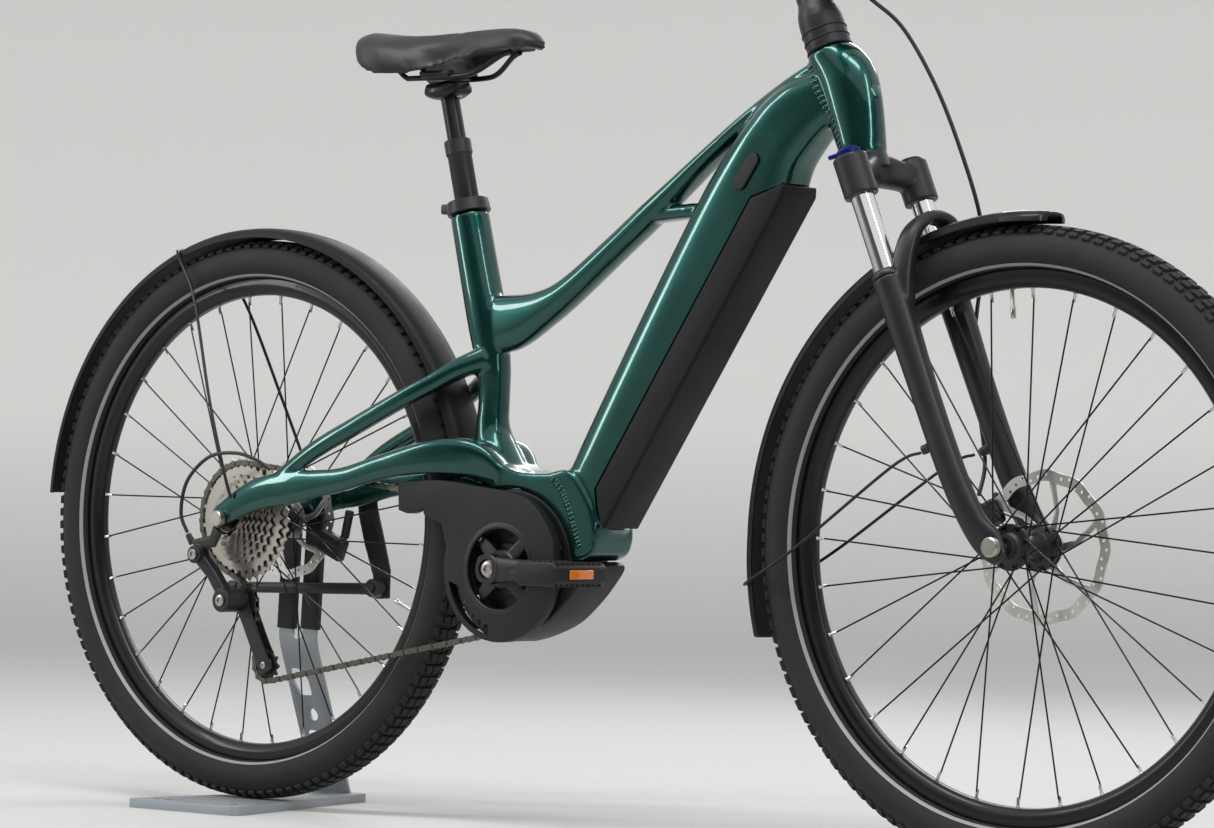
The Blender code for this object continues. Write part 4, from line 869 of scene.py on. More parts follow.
def make_wheels(bench: Workbench) -> None:
    """Builds both wheels."""
    rear = [(6.6, -26.8), (30.0, -26.8), (31.0, -26.2), (31.0, -23.8), (30.0, -23.0), (21.0, -20.5), (17.6, -14.0),
            (16.8, -4.0), (16.8, 10.0), (17.6, 20.0), (21.0, 26.0), (30.0, 29.0), (31.0, 29.8), (31.0, 32.2),
            (30.0, 33.0), (20.0, 34.5), (17.2, 37.0), (17.2, 54.4), (11.0, 60.5), (11.0, 65.0), (6.6, 65.0)]
    Wheel(bench, "rear", 0.0, "rear_wheel", 186.2, (-25, 31), 27.0, rear, 56.0, 80.0, 18.5).build()
    front = [(6.6, -43.8), (12.0, -43.8), (13.0, -36.5), (17.0, -33.6), (26.0, -33.0), (27.0, -32.2),
             (27.0, -29.8), (26.0, -29.0), (17.0, -26.8), (14.2, -22.0), (13.6, -10.0), (13.6, 8.0),
             (14.2, 18.0), (17.0, 23.0), (26.0, 25.0), (27.0, 25.8), (27.0, 28.2), (26.0, 29.0), (19.0, 31.0),
             (17.2, 33.0), (17.2, 36.4), (13.0, 42.5), (12.0, 43.8), (6.6, 43.8)]
    Wheel(bench, "front", WHEELBASE, "front_wheel", 168.4, (-31, 27), 23.0, front, 38.0, 90.0).build()


# ---------------------------------------------------------------- frame
@dataclass
class MainFrame:
    """Hydroformed aluminium frame, welded and lacquered.

    Attributes:
        bench: the workbench.
        voxel: size of the welding grid.
        sides: points round each tube.
        steps: rings between two stations.
    """

    bench: Workbench
    voxel: float = 2.3
    sides: int = 56
    steps: int = 6
    body: str = "bike_frame"

    def member(self, stations: list[Station], power: float) -> bpy.types.Object:
        """One hydroformed tube."""
        return sweep(smooth_path(stations, self.steps), power, self.sides)

    def build(self) -> None:
        """Builds the frame and what is fixed on it."""
        self.tubes()
        self.battery()
        self.motor()
        self.fittings()

    def tubes(self) -> None:
        """Sweeps every tube, melts them together with fillets and cuts the bores."""
        head = []
        for along, rear, front, half in ((519, 27, 29, 27.5), (521, 27, 29.4, 27.6), (545, 27.5, 37, 28),
                                         (572, 27.5, 44, 28.5), (600, 27.5, 48, 28.5), (620, 27.5, 42, 28),
                                         (640, 27.5, 29, 27.5), (648, 27.5, 28, 27.5)):
            head.append((*head_point((front - rear) / 2, along), half, (front + rear) / 2))
        down = [(*down_point(322, 466), 30, 33), (*down_point(350, 468), 34, 47),
                (*down_point(520, 462), 34, 53), (*down_point(700, 458), 34, 57),
                (*down_point(790, 458), 34, 57), (846, 0, 466, 33.5, 47), (882, 0, 502, 31, 42),
                (925, 0, 525, 27, 32)]
        top = [(384, 0, 258, 17, 34), (430, 0, 258, 18, 36), (485, 0, 276, 18.5, 24),
               (531, 0, 301, 18.5, 18), (604, 0, 354, 18.5, 16), (655, 0, 392, 19, 15.5),
               (700, 0, 426, 20, 13), (745, 0, 460, 20.5, 10.5), (800, 0, 498, 21, 10.5),
               (868, 0, 538, 21, 12), (930, 0, 566, 20, 14)]
        strut = [(650, 0, 387, 15, 9), (695, 0, 391.5, 16, 9.5), (735, 0, 394, 16, 10), (775, 0, 396, 15, 11)]
        seat = [(*seat_point(396.4), 23.5, 24), (*seat_point(330), 24, 24.5), (*seat_point(262), 24, 25),
                (401, 0, 205, 22, 21), (404, 0, 165, 20, 18.5), (403, 0, 128, 22, 19.5),
                (410, 0, 98, 28, 25), (428, 0, 66, 33, 26)]
        chainstay = [(-12, -71, 0, 5, 13), (14, -71, 13, 5.5, 17), (60, -71, 33, 6.5, 21),
                     (118, -70, 43, 7.5, 22), (160, -68, 49, 8.5, 18), (210, -66, 56, 9.5, 15.5),
                     (270, -63, 72, 11, 16), (330, -58, 84, 13, 20), (376, -49, 89, 14.5, 24),
                     (412, -38, 84, 16, 24), (438, -25, 64, 15, 18)]
        seatstay = [(92, -70, 50, 6, 10), (156, -67, 91, 8, 11.5), (225, -64, 124, 9, 12),
                    (297, -57, 159, 9.5, 12), (338, -46, 180, 10, 12), (372, -30, 200, 13, 13.5),
                    (402, -12, 214, 14, 16)]
        parts = [self.member(head, 2.2), self.member(down, 4.0), self.member(top, 2.6), self.member(strut, 2.6),
                 self.member(seat, 2.3)]
        for stations, power in ((chainstay, 3.0), (seatstay, 2.6)):
            right = self.member(stations, power)
            parts += [right, mirrored(right)]
        outer = smooth_path([(382, 40), (386, 78), (402, 100), (430, 88), (474, 72), (520, 70), (560, 74),
                             (592, 40), (606, 4), (602, -24), (586, -36)], 5)
        cradle = prism(flat_arc(BB, 100.4, 7.5, 140, 48) + outer, -38, 38, bevel=7.0, segments=4)
        parts.append(cradle)
        frame = remeshed(gather(parts), self.voxel, 9)
        room = [down_point(a, o) for a, o in ((371, 474.1), (350.5, 491.6), (336.5, 507.6), (336.5, 560),
                                              (845, 560), (836, 510), (793, 474.1))]
        cuts = [rod(head_point(0, 500), head_point(0, 670), 19.0, 48),
                rod(seat_point(430), seat_point(255), 15.9, 48), rod((0, -90, 0), (0, 90, 0), 6.5, 32),
                prism([(x, z) for x, _, z in room], -60, 60),
                block((402, 52, 33), down_point(582, 466), Matrix.Rotation(-DOWN_ANGLE, 3, "Y"))]
        for tool in cuts:
            carve(frame, tool)
        self.bench.finish(frame, "frame_lacquered", self.body, TEAL, ("main_frame",), sharp=50)
        bpy.context.view_layer.update()
        neck = [head_point(-22, 640)[::2], head_point(-17, 600)[::2], head_point(-12, 560)[::2],
                head_point(-14, 524)[::2]]
        self.weld(frame, neck, "weld_head_tube")
        self.weld(frame, [(531, 66), (548, 52), (561, 30), (570, 8), (580, -18)], "weld_motor_cradle")

    def weld(self, frame: bpy.types.Object, path: Sequence[Flat], name: str, pitch: float = 4.2) -> None:
        """Row of overlapping weld ripples on both flanks of the frame, along a side-view line."""
        inverse = self.bench.bike.inverted()
        line = [Vector((x, 0, z)) for x, z in smooth_path(path, 12)]
        spots, walked = [line[0]], 0.0
        for a, b in zip(line, line[1:]):
            walked += (b - a).length
            if walked >= pitch:
                spots.append(b)
                walked = 0.0
        ripples = []
        bead = turned([(0, -1.0), (3.8, -1.0), (4.7, 0.0), (3.6, 1.3), (0, 2.0)], (0, 0, 0), (0, 0, 1), 14)
        for k, spot in enumerate(spots[1:], 1):
            for side in (-1, 1):
                start = self.bench.bike @ (spot + Vector((0, side * 90, 0)))
                toward = self.bench.bike.to_3x3() @ Vector((0, -side, 0))
                hit, place, normal, _ = frame.ray_cast(start, toward.normalized(), distance=0.09)
                if not hit:
                    continue
                local = inverse @ place
                out = (inverse.to_3x3() @ normal).normalized()
                along = (spot - spots[k - 1]).normalized()
                along = (along - out * along.dot(out)).normalized()
                basis = Matrix((along, out.cross(along), out)).transposed().to_4x4()
                tilt = Matrix.Rotation(math.radians(-16), 4, "Y")
                ripples.append(copied(bead, Matrix.Translation(local) @ basis @ tilt
                                      @ Matrix.Diagonal((0.62, 1.0, 0.8, 1))))
        bpy.data.objects.remove(bead)
        if ripples:
            self.bench.finish(gather(ripples), name, self.body, TEAL, sharp=60)

    def battery(self) -> None:
        """Battery cover, the pack behind it and the charge flap."""
        corners = [down_point(a, o) for a, o in ((372.5, 474.5), (352, 492), (338, 508), (338, 515),
                                                 (820, 515), (832, 508), (792, 474.5))]
        cover = prism([(x, z) for x, _, z in corners], -34, 34, bevel=6.5, segments=5)
        carve(cover, block((396, 50.6, 42), down_point(582, 477), Matrix.Rotation(-DOWN_ANGLE, 3, "Y")))
        self.bench.finish(cover, "battery_cover_shell", "battery", ABS, ("battery_cover",), sharp=30)
        self.bench.refine("battery_pack", "battery", NYLON)
        cap = bevel_edges(self.bench.node_copy("charge_port_cap"), 1.4, 4, 25)
        self.bench.finish(cap, "charge_flap_rubber", "charge_flap", GRIP_RUBBER, ("charge_port_cap",), sharp=60)

    def motor(self) -> None:
        """Mid-motor's cast housing with its axle boss and screws."""
        low = flat_arc(BB, 92, 150, 262, 40)
        top = flat_arc(BB, 99.6, 6, 138, 48)
        nose = smooth_path([low[-1], (487, -133), (527, -116), (557, -92), (580, -68), (596, -45),
                            (584, -37.5), top[0]], 4)[1:-1]
        housing = prism([tuple(p) for p in low + nose + top], -36, 36, bevel=7.0, segments=5)
        boss = turned([(12.6, -41), (32, -41), (34, -39), (34, 44), (32, 46), (12.6, 46)], (BB[0], 0, BB[1]),
                      count=72)
        hollow = rod((BB[0], -70, BB[1]), (BB[0], 70, BB[1]), 12.6, 48)
        union(housing, boss)
        carve(housing, hollow)
        self.bench.finish(housing, "motor_casting", self.body, NYLON, ("motor_housing",), sharp=35)
        screws = []
        for degrees in (20, 62, 104, 136, 172, 212, 250):
            for side in (-1, 1):
                screws.append(bolt(polar(BB, 84, degrees, side * 36), (0, side, 0), 3.4, 1.6))
        self.bench.finish(gather(screws), "motor_screws", self.body, NICKEL)

    def fittings(self) -> None:
        """Head badge, bottle bosses and the seat clamp."""
        centre = Vector(head_point(44.0, 585.0))
        ahead = (Vector(head_point(1, 0)) - Vector(head_point(0, 0))).normalized()
        up = (Vector(head_point(0, 1)) - Vector(head_point(0, 0))).normalized()
        rings = []
        for lift, share in ((-3.0, 1.0), (1.6, 1.0), (2.6, 0.86), (2.9, 0.5)):
            rings.append([centre + ahead * (lift - 5.5 * (abs(math.cos(a)) * share) ** 2)
                          + Vector((0, 1, 0)) * (14.0 * share * math.cos(a)) + up * (19.0 * share * math.sin(a))
                          for a in (2 * math.pi * k / 40 for k in range(40))])
        self.bench.finish(loft(rings), "head_badge", self.body, BADGE)
        bosses = [bolt((x, 0, z), (-math.sin(0.6), 0, math.cos(0.6)), 4.6, 3.4) for x, z in ((590, 362), (640, 398))]
        self.bench.finish(gather(bosses), "top_tube_bolts", self.body, NICKEL)
        collar = turned([(16.0, 397.4 - 406), (27.2, 397.4 - 406), (28.0, -7.6), (26.6, 7.0), (25.8, 7.9),
                         (16.0, 7.9)], seat_point(405.6), Vector(seat_point(481)) - Vector(seat_point(480)), 64)
        lug = block((22, 18, 13), Vector(seat_point(406)) + Vector((-29, 0, -3)), bevel=3.0, segments=4)
        union(collar, lug)
        slot = block((30, 2.2, 20), Vector(seat_point(406)) + Vector((-32, 0, -3)))
        carve(collar, slot)
        self.bench.finish(collar, "seat_clamp", self.body, CHARCOAL, ("seat_collar",))
        screw = Vector(seat_point(406)) + Vector((-31, 9, -3))
        self.bench.finish(bolt(screw, (0, 1, 0), 4.2, 3.0), "seat_clamp_bolt", self.body, NICKEL)


# ---------------------------------------------------------------- drivetrain
def tangent_angle(c1: Flat, r1: float, c2: Flat, r2: float, side: int) -> float:
    """Direction, in degrees, of the point where a straight run leaves two circles on one side."""
    base = math.atan2(c2[1] - c1[1], c2[0] - c1[0])
    return math.degrees(base + math.acos((r1 - r2) / math.dist(c1, c2)) * side)


@dataclass
class Drivetrain:
    """Chainring, cranks, pedals, chain, cassette, derailleur and guard."""

    bench: Workbench
    ring_radius: float = 77.0
    cog_radius: float = 74.0
    pulley_radius: float = 21.0
    link: float = 12.7
    ring_teeth: int = 38
    cog_teeth: int = 36

    def build(self) -> None:
        """Builds every part that turns or carries the chain."""
        self.cassette()
        self.chain()
        self.chainring()
        self.cranks()
        self.pedals()
        self.guard()
        self.derailleur()

    def cassette(self) -> None:
        """Nine toothed cogs on a core."""
        cogs = []
        for i, radius in enumerate((82.0, 72.4, 59.0, 51.0, 44.0, 38.0, 33.0, 28.5, 24.5)):
            teeth = self.cog_teeth if i == 1 else max(11, round(2 * math.pi * (radius - 2) / self.link))
            face = -29.6 - 4.0 * i
            tip = radius + (1.6 if i == 1 else 0.0)
            cogs.append(toothed((0, 0), teeth, radius - 4.6, tip, face - 1.9, face, 3.0 * i, 17.8))
        cogs.append(turned([(18.2, -30.0), (22.0, -30.0), (22.0, -63.5), (18.2, -63.5)], count=48))
        self.bench.finish(gather(cogs), "cassette_cogs", "cassette_body", NICKEL, ("cassette",), sharp=25)

    def route(self) -> list[Vector]:
        """Evenly spaced pin places of the closed chain."""
        cog, ring, guide, tension = (0.0, 0.0), BB, GUIDE_PULLEY, TENSION_PULLEY
        big, small, pulley = self.ring_radius, self.cog_radius, self.pulley_radius
        top = tangent_angle(cog, small, ring, big, 1)
        crossing = math.degrees(math.atan2(guide[1], guide[0]))
        leave_cog = crossing - math.degrees(math.acos((small + pulley) / math.hypot(*guide)))
        between = math.degrees(math.atan2(tension[1] - guide[1], tension[0] - guide[0]))
        leave_guide = between + math.degrees(math.acos(2 * pulley / math.dist(guide, tension)))
        low = tangent_angle(tension, pulley, ring, big, -1)
        reach_guide = leave_cog + 180
        reach_guide += 0 if reach_guide > leave_guide else 360
        reach_tension = leave_guide + 180
        while reach_tension > low + 360:
            reach_tension -= 360
        wraps = ((cog, small, top, leave_cog + 360, REAR_CHAIN_Y), (guide, pulley, reach_guide, leave_guide,
                                                                   REAR_CHAIN_Y),
                 (tension, pulley, reach_tension, low + 360, REAR_CHAIN_Y), (ring, big, low, top, FRONT_CHAIN_Y))
        dense = [Vector(polar(centre, radius, start + (end - start) * i / 60, y))
                 for centre, radius, start, end, y in wraps for i in range(61)]
        dense.append(dense[0])
        lengths = [0.0]
        for a, b in zip(dense, dense[1:]):
            lengths.append(lengths[-1] + (b - a).length)
        count = round(lengths[-1] / self.link / 2) * 2
        places, span = [], 0
        for i in range(count):
            want = lengths[-1] * i / count
            while lengths[span + 1] < want:
                span += 1
            share = (want - lengths[span]) / max(1e-9, lengths[span + 1] - lengths[span])
            places.append(dense[span].lerp(dense[span + 1], share))
        return places

    def chain(self) -> None:
        """Inner and outer link plates with rollers along the route."""
        places = self.route()
        half = self.link / 2
        outline = []
        for side in (1, -1):
            for degrees in (-70, -35, 0, 35, 70):
                x, _, z = polar((half * side, 0), 4.1, degrees if side > 0 else degrees + 180)
                outline.append((x, z))
            outline.append((0.0, 3.0 * side))
        plates = {wide: prism(outline, wide - 0.5, wide + 0.5) for wide in (2.3, 3.3)}
        pin = rod((0, -4.1, 0), (0, 4.1, 0), 1.9, 8)
        roller = rod((0, -1.6, 0), (0, 1.6, 0), 3.8, 10)
        shapes = []
        for i, place in enumerate(places):
            after = places[(i + 1) % len(places)]
            tangent = (after - place).normalized()
            flank = (Vector((0, 1, 0)) - tangent * tangent.y).normalized()
            up = tangent.cross(flank)
            basis = Matrix((tangent, flank, up)).transposed().to_4x4()
            middle = Matrix.Translation((place + after) / 2) @ basis
            stretch = Matrix.Diagonal(((after - place).length / self.link, 1, 1, 1))
            wide = 2.3 if i % 2 else 3.3
            shapes.append(copied(plates[wide], middle @ stretch))
            shapes.append(copied(plates[wide], middle @ stretch @ Matrix.Diagonal((1, -1, 1, 1))))
            shapes.append(copied(pin, Matrix.Translation(place) @ basis))
            shapes.append(copied(roller, Matrix.Translation(place) @ basis))
        for shape in (*plates.values(), pin, roller):
            bpy.data.objects.remove(shape)
        self.bench.finish(gather(shapes), "chain_links", "bike_frame", CHAIN_STEEL, ("chain",), sharp=30)

    def chainring(self) -> None:
        """Toothed ring with four arms and its bolts."""
        ring = toothed(BB, self.ring_teeth, 73.0, 80.4, -51.0, -49.0, 0.0, 50.0)
        spider = turned([(12.4, -56), (22, -56), (24, -54), (24, -47.5), (12.4, -47.5)], (BB[0], 0, BB[1]), count=64)
        union(ring, spider)
        heads = []
        for i in range(4):
            start, end = polar(BB, 20, 45 + 90 * i, -51.6), polar(BB, 57, 45 + 90 * i, -50.6)
            union(ring, sweep([(*start, 2.4, 10.0), (*end, 1.8, 7.0)], power=4, count=24, dome=2))
            heads.append(bolt(polar(BB, 54, 45 + 90 * i, -52.2), (0, -1, 0), 4.6, 1.8))
        self.bench.finish(ring, "chainring_teeth", "crank", CHARCOAL, ("chainring",), sharp=25)
        self.bench.finish(gather(heads), "chainring_bolts", "crank", NICKEL)

    def cranks(self) -> None:
        """Both forged arms, the axle and its end caps."""
        axle = turned([(0, -78), (11, -78), (12, -77), (12, 77), (11, 78), (0, 78)], (BB[0], 0, BB[1]), count=48)
        self.bench.finish(axle, "crank_spindle", "crank", NICKEL, ("crank_axle",))
        for side, name in ((-1, "right"), (1, "left")):
            tip = BB[0] - side * CRANK_LENGTH
            path = [(BB[0] + side * 19, side * 74, BB[1], 6.5, 15.5), (BB[0], side * 74.2, BB[1], 6.6, 17.0),
                    (BB[0] - side * 40, side * 75, BB[1], 6.5, 14), (BB[0] - side * 95, side * 77, BB[1], 6.2, 12.4),
                    (tip + side * 30, side * 79, BB[1], 6.0, 12.5), (tip, side * 79.9, BB[1], 6.0, 13.5),
                    (tip - side * 14, side * 80, BB[1], 6.0, 11)]
            arm = sweep(smooth_path(path, 4), power=3.2, count=40, dome=4)
            boss = turned([(12.3, side * 64), (17.5, side * 64), (19, side * 66), (19, side * 80.5), (17.5, side * 82),
                           (12.3, side * 82)], (BB[0], 0, BB[1]), count=64)
            union(arm, boss)
            carve(arm, rod((BB[0], -90, BB[1]), (BB[0], 90, BB[1]), 12.3, 48))
            carve(arm, rod((tip, side * 60, BB[1]), (tip, side * 110, BB[1]), 7.2, 32))
            groove = sweep([(BB[0] - side * 34, side * 82.6, BB[1], 1.6, 6.0), (tip + side * 34, side * 86.4, BB[1],
                                                                               1.6, 4.6)], power=2.6, count=24, dome=6)
            carve(arm, groove)
            self.bench.finish(arm, f"crank_{name}_forged", "crank", CHARCOAL, (f"crank_arm_{name}",), sharp=40)
            cap = bolt((BB[0], side * 78.0, BB[1]), (0, side, 0), 9.5, 3.6)
            self.bench.finish(cap, f"crank_{name}_cap", "crank", NICKEL)

    def pedals(self) -> None:
        """Open pedal cages with grip ribs, spindles and amber reflectors."""
        for side, name in ((-1, "right"), (1, "left")):
            x, y = BB[0] - side * CRANK_LENGTH, side * 90.0
            outline = [(x - 33, BB[1] - 8), (x - 27, BB[1] - 14), (x + 27, BB[1] - 14), (x + 33, BB[1] - 8),
                       (x + 33, BB[1] + 8), (x + 27, BB[1] + 14), (x - 27, BB[1] + 14), (x - 33, BB[1] + 8)]
            near, far = sorted((y + side * 2, y + side * 98))
            cage = prism(outline, near, far, bevel=2.5, segments=3)
            for dx in (-18, 18):
                carve(cage, block((18.5, 62, 60), (x + dx, y + side * 50, BB[1]), bevel=4.0))
            for dz in (-14.6, 14.6):
                for dx in (-27, 27):
                    for k in range(9):
                        union(cage, block((7.0, 3.0, 2.4), (x + dx, y + side * (10 + 10 * k), BB[1] + dz * 0.955),
                                          bevel=0.5, segments=1))
            spindle = turned([(0, side * 74.5), (6.8, side * 74.5), (6.8, side * 80), (5.6, side * 86),
                              (5.6, y + side * 10), (0, y + side * 10)], (x, 0, BB[1]), count=32)
            self.bench.finish(cage, f"pedal_{name}_cage", f"{name}_pedal", NYLON, (f"pedal_{name}",), sharp=30)
            self.bench.finish(spindle, f"pedal_{name}_spindle", f"{name}_pedal", NICKEL)
            lights = []
            for dx in (-33.0, 33.0):
                plate = block((2.2, 44, 11), (x + dx, y + side * 50, BB[1]), bevel=1.0)
                lights.append(plate)
            self.bench.finish(gather(lights), f"pedal_{name}_reflectors", f"{name}_pedal", AMBER)

    def guard(self) -> None:
        """Chain guard with a tail over the upper run, and a grey strip round its mouth."""
        top = smooth_path([(297, 54), (367, 58), (434, 51), (484, 45), (514, 36), (541, 13), (557, -14)], 6)
        circle = flat_arc(BB, 91, 14, -196, 84)
        tail = smooth_path([(372, 4), (343, 14), (341, 23), (318, 15), (299, 19)], 4)
        guard = prism([tuple(p) for p in top + circle + tail], -59, -44, bevel=2.4, segments=4)
        ring_room = turned([(6, -56.8), (86, -56.8), (86, -40), (6, -40)], (BB[0], 0, BB[1]), count=96)
        run_room = prism([(285, 30), (285, 52), (367, 55.6), (434, 48.6), (484, 42.6), (506, 30), (469, 10),
                          (420, 8), (352, 26)], -56.8, -40)
        low_room = prism([(300, -150), (300, -178), (462, -142), (462, -120)], -56.8, -40)
        mouth = rod((BB[0], -70, BB[1]), (BB[0], -30, BB[1]), 50.5, 96)
        crescent = flat_arc(BB, 83.5, 192, 262, 24) + flat_arc(BB, 68.0, 256, 200, 20)
        window = prism(crescent, -70, -50, bevel=3.0, segments=3)
        for tool in (ring_room, run_room, low_room, mouth, window):
            carve(guard, tool)
        self.bench.finish(guard, "chain_guard_shell", "bike_frame", NYLON, ("chain_guard",), sharp=30)
        lip = turned([(50.6, -59.0), (52.0, -60.0), (56.5, -60.0), (58.0, -59.0)], (BB[0], 0, BB[1]), count=96)
        self.bench.finish(lip, "chain_guard_ring", "bike_frame", CHARCOAL)

    def derailleur(self) -> None:
        """Hanging mechanism with its springs, cage plates and pulleys."""
        body = remeshed(self.bench.node_copy("derailleur"), 0.9, 4)
        self.bench.finish(body, "derailleur_mech", "bike_frame", CHARCOAL, ("derailleur",), sharp=40)
        screws = [bolt((-38, -86.4, -48), (0, -1, 0), 7.0, 3.0), bolt((6, -78.2, -107), (0, -1, 0), 7.5, 2.6),
                  bolt((6, REAR_CHAIN_Y + 7.4, -107), (0, 1, 0), 4.5, 1.6),
                  bolt((52, REAR_CHAIN_Y - 7.6, -190), (0, -1, 0), 4.5, 1.6)]
        self.bench.finish(gather(screws), "derailleur_screws", "bike_frame", NICKEL)
        for centre, name, body_name in ((GUIDE_PULLEY, "guide_pulley", "guide_wheel"),
                                        (TENSION_PULLEY, "tension_pulley", "tension_wheel")):
            wheel = toothed(centre, 11, 16.6, 21.4, REAR_CHAIN_Y - 1.2, REAR_CHAIN_Y + 1.2, 0, 9.5)
            hub = turned([(3.4, -4.5), (7.0, -4.5), (9.7, -1.6), (9.7, 1.6), (7.0, 4.5), (3.4, 4.5)],
                         (centre[0], REAR_CHAIN_Y, centre[1]), count=32)
            self.bench.finish(gather([wheel, hub]), f"{name}_toothed", body_name, NYLON, (name,), sharp=30)


# ---------------------------------------------------------------- seat and stand
@dataclass
class Seat:
    """Sprung seat post with its clamp, rails and padded saddle.

    Attributes:
        bench: the workbench.
        pressure: air pressure that swells the pad.
        cap_mm: how far a point of the pad may move.
        grid_mm: size of the remeshed pad's faces.
    """

    bench: Workbench
    pressure: float = 4.0
    cap_mm: float = 4.0
    grid_mm: float = 4.4

    def build(self) -> None:
        """Builds the post, the rails, the shell and the cover."""
        self.post()
        self.rails()
        self.cushion()

    def post(self) -> None:
        """Outer tube with its collar, and the sprung head that slides in it."""
        up = Vector(seat_point(481)) - Vector(seat_point(480))
        length = (Vector(seat_point(491)) - Vector(seat_point(268))).length
        outer = turned([(12.5, 0), (15.5, 0), (15.5, length - 21), (16.0, length - 20), (17.2, length - 18.5),
                        (17.2, length - 1.2), (16.2, length), (12.5, length)], seat_point(268), up, 64)
        self.bench.finish(outer, "seatpost_tube", "bike_frame", CHARCOAL, ("seatpost_outer",), sharp=30)
        inner = rod(seat_point(552), seat_point(388), 12.0, 48)
        head = sweep(smooth_path([(286, 0, 556, 18, 9), (300, 0, 554, 21, 11), (322, 0, 556, 21, 12),
                                  (338, 0, 560, 18, 8)], 4), power=3, count=40, dome=3)
        union(inner, head)
        self.bench.finish(inner, "seatpost_piston", "seat", RIM_BLACK, ("seatpost_inner",), sharp=40)
        screw = bolt((330, 0, 551), (0.2, 0, -1), 4.5, 5.0)
        self.bench.finish(screw, "seatpost_bolt", "seat", NICKEL)

    def rails(self) -> None:
        """Bent steel rails with the clamp that holds them."""
        shapes = []
        for side in (-1, 1):
            shapes.append(hose([(222, side * 34, 598.0), (240, side * 27, 590), (258, side * 23, 573),
                                (275, side * 22, 570.5), (350, side * 22, 571), (378, side * 20, 576),
                                (408, side * 12, 594), (424, side * 9, 600)], 3.5, 8, 16))
        shapes.append(rod((222, -36, 598.0), (222, 36, 598.0), 3.4, 16))
        self.bench.finish(gather(shapes), "saddle_rail_pair", "seat", RIM_BLACK, ("saddle_rails",), sharp=40)
        plates = [block((50, 15, 6), (312, side * 22, 575.5), bevel=2.2, segments=4) for side in (-1, 1)]
        plates.append(block((46, 56, 5), (312, 0, 571.6), bevel=2.0, segments=3))
        self.bench.finish(gather(plates), "saddle_clamp", "seat", CHARCOAL)

    def cushion(self) -> None:
        """Moulded shell underneath, and the padded cover swollen by air pressure."""
        rows = ((195, 40, 620, 604, 609), (199, 56, 629, 597, 608), (215, 70, 631, 584, 606),
                (235, 75, 627, 573, 604), (262, 71, 623, 568, 602), (290, 55, 622, 570, 601),
                (330, 36, 625, 581, 604), (380, 27, 629, 592, 608), (425, 25, 630, 597, 608),
                (450, 21, 627, 598, 607), (462, 16, 621, 600, 607), (469, 10, 613, 603, 607))
        cover, shell = [], []
        for x, width, top, edge, base in smooth_path(rows, 6):
            flank = edge + (top - edge) * 0.66
            cover.append([Vector((x, y * width, z)) for y, z in smooth_path((
                (-0.93, edge + 1), (-0.985, edge + 5), (-0.93, flank), (-0.6, top - 3.2), (-0.3, top - 1.4),
                (0, top - 2.4), (0.3, top - 1.4), (0.6, top - 3.2), (0.93, flank), (0.985, edge + 5),
                (0.93, edge + 1), (0.8, edge + 4), (0.62, base - 0.5), (-0.62, base - 0.5),
                (-0.8, edge + 4)), 3)[:-1]])
            if 202 < x < 462:
                shell.append([Vector((x, y * width, base + z)) for y, z in (
                    (-0.82, 0.0), (-0.84, -1.4), (-0.8, -2.8), (-0.4, -3.3), (0, -3.6), (0.4, -3.3), (0.8, -2.8),
                    (0.84, -1.4), (0.82, 0.0), (0, 0.2))])
        self.bench.finish(loft(shell), "saddle_base", "seat", NYLON, ("saddle_shell",))
        pad = remeshed(loft(cover), self.grid_mm, 3)
        pad.data.transform(self.bench.bike)
        self.swell(pad)
        pad.data.transform(self.bench.bike.inverted())
        rounding = pad.modifiers.new("rounding", "SUBSURF")
        rounding.levels = rounding.render_levels = 1
        select_only(pad)
        bpy.ops.object.modifier_apply(modifier=rounding.name)
        self.press_channel(pad)
        self.bench.finish(pad, "saddle_pad", "seat", SADDLE_SKIN, ("saddle_cover",), sharp=0)

    def swell(self, pad: bpy.types.Object) -> None:
        """Runs the cloth solver on the pad and applies its capped result."""
        start = [v.co.copy() for v in pad.data.vertices]
        cloth = pad.modifiers.new("cloth", "CLOTH")
        cloth.settings.use_pressure = True
        cloth.settings.uniform_pressure_force = self.pressure
        cloth.settings.effector_weights.gravity = 0.0
        cloth.settings.tension_stiffness = cloth.settings.compression_stiffness = 40
        cloth.point_cache.frame_start, cloth.point_cache.frame_end = 1, 20
        scene = bpy.context.scene
        for step in range(1, 21):
            scene.frame_set(step)
        select_only(pad)
        bpy.ops.object.modifier_apply(modifier=cloth.name)
        scene.frame_set(1)
        for vert, home in zip(pad.data.vertices, start):
            move = vert.co - home
            move.z *= 0.5
            if move.length > self.cap_mm * MM:
                move = move.normalized() * self.cap_mm * MM
            vert.co = home + move

    def press_channel(self, pad: bpy.types.Object) -> None:
        """Sinks the relief channel along the saddle's middle."""
        for vert in pad.data.vertices:
            x, y, z = vert.co
            if z > 612:
                reach = max(0.0, min(1.0, (x - 212) / 25)) * max(0.0, min(1.0, (420 - x) / 60))
                vert.co.z -= 3.4 * reach * math.exp(-(y / 8.5) ** 2)


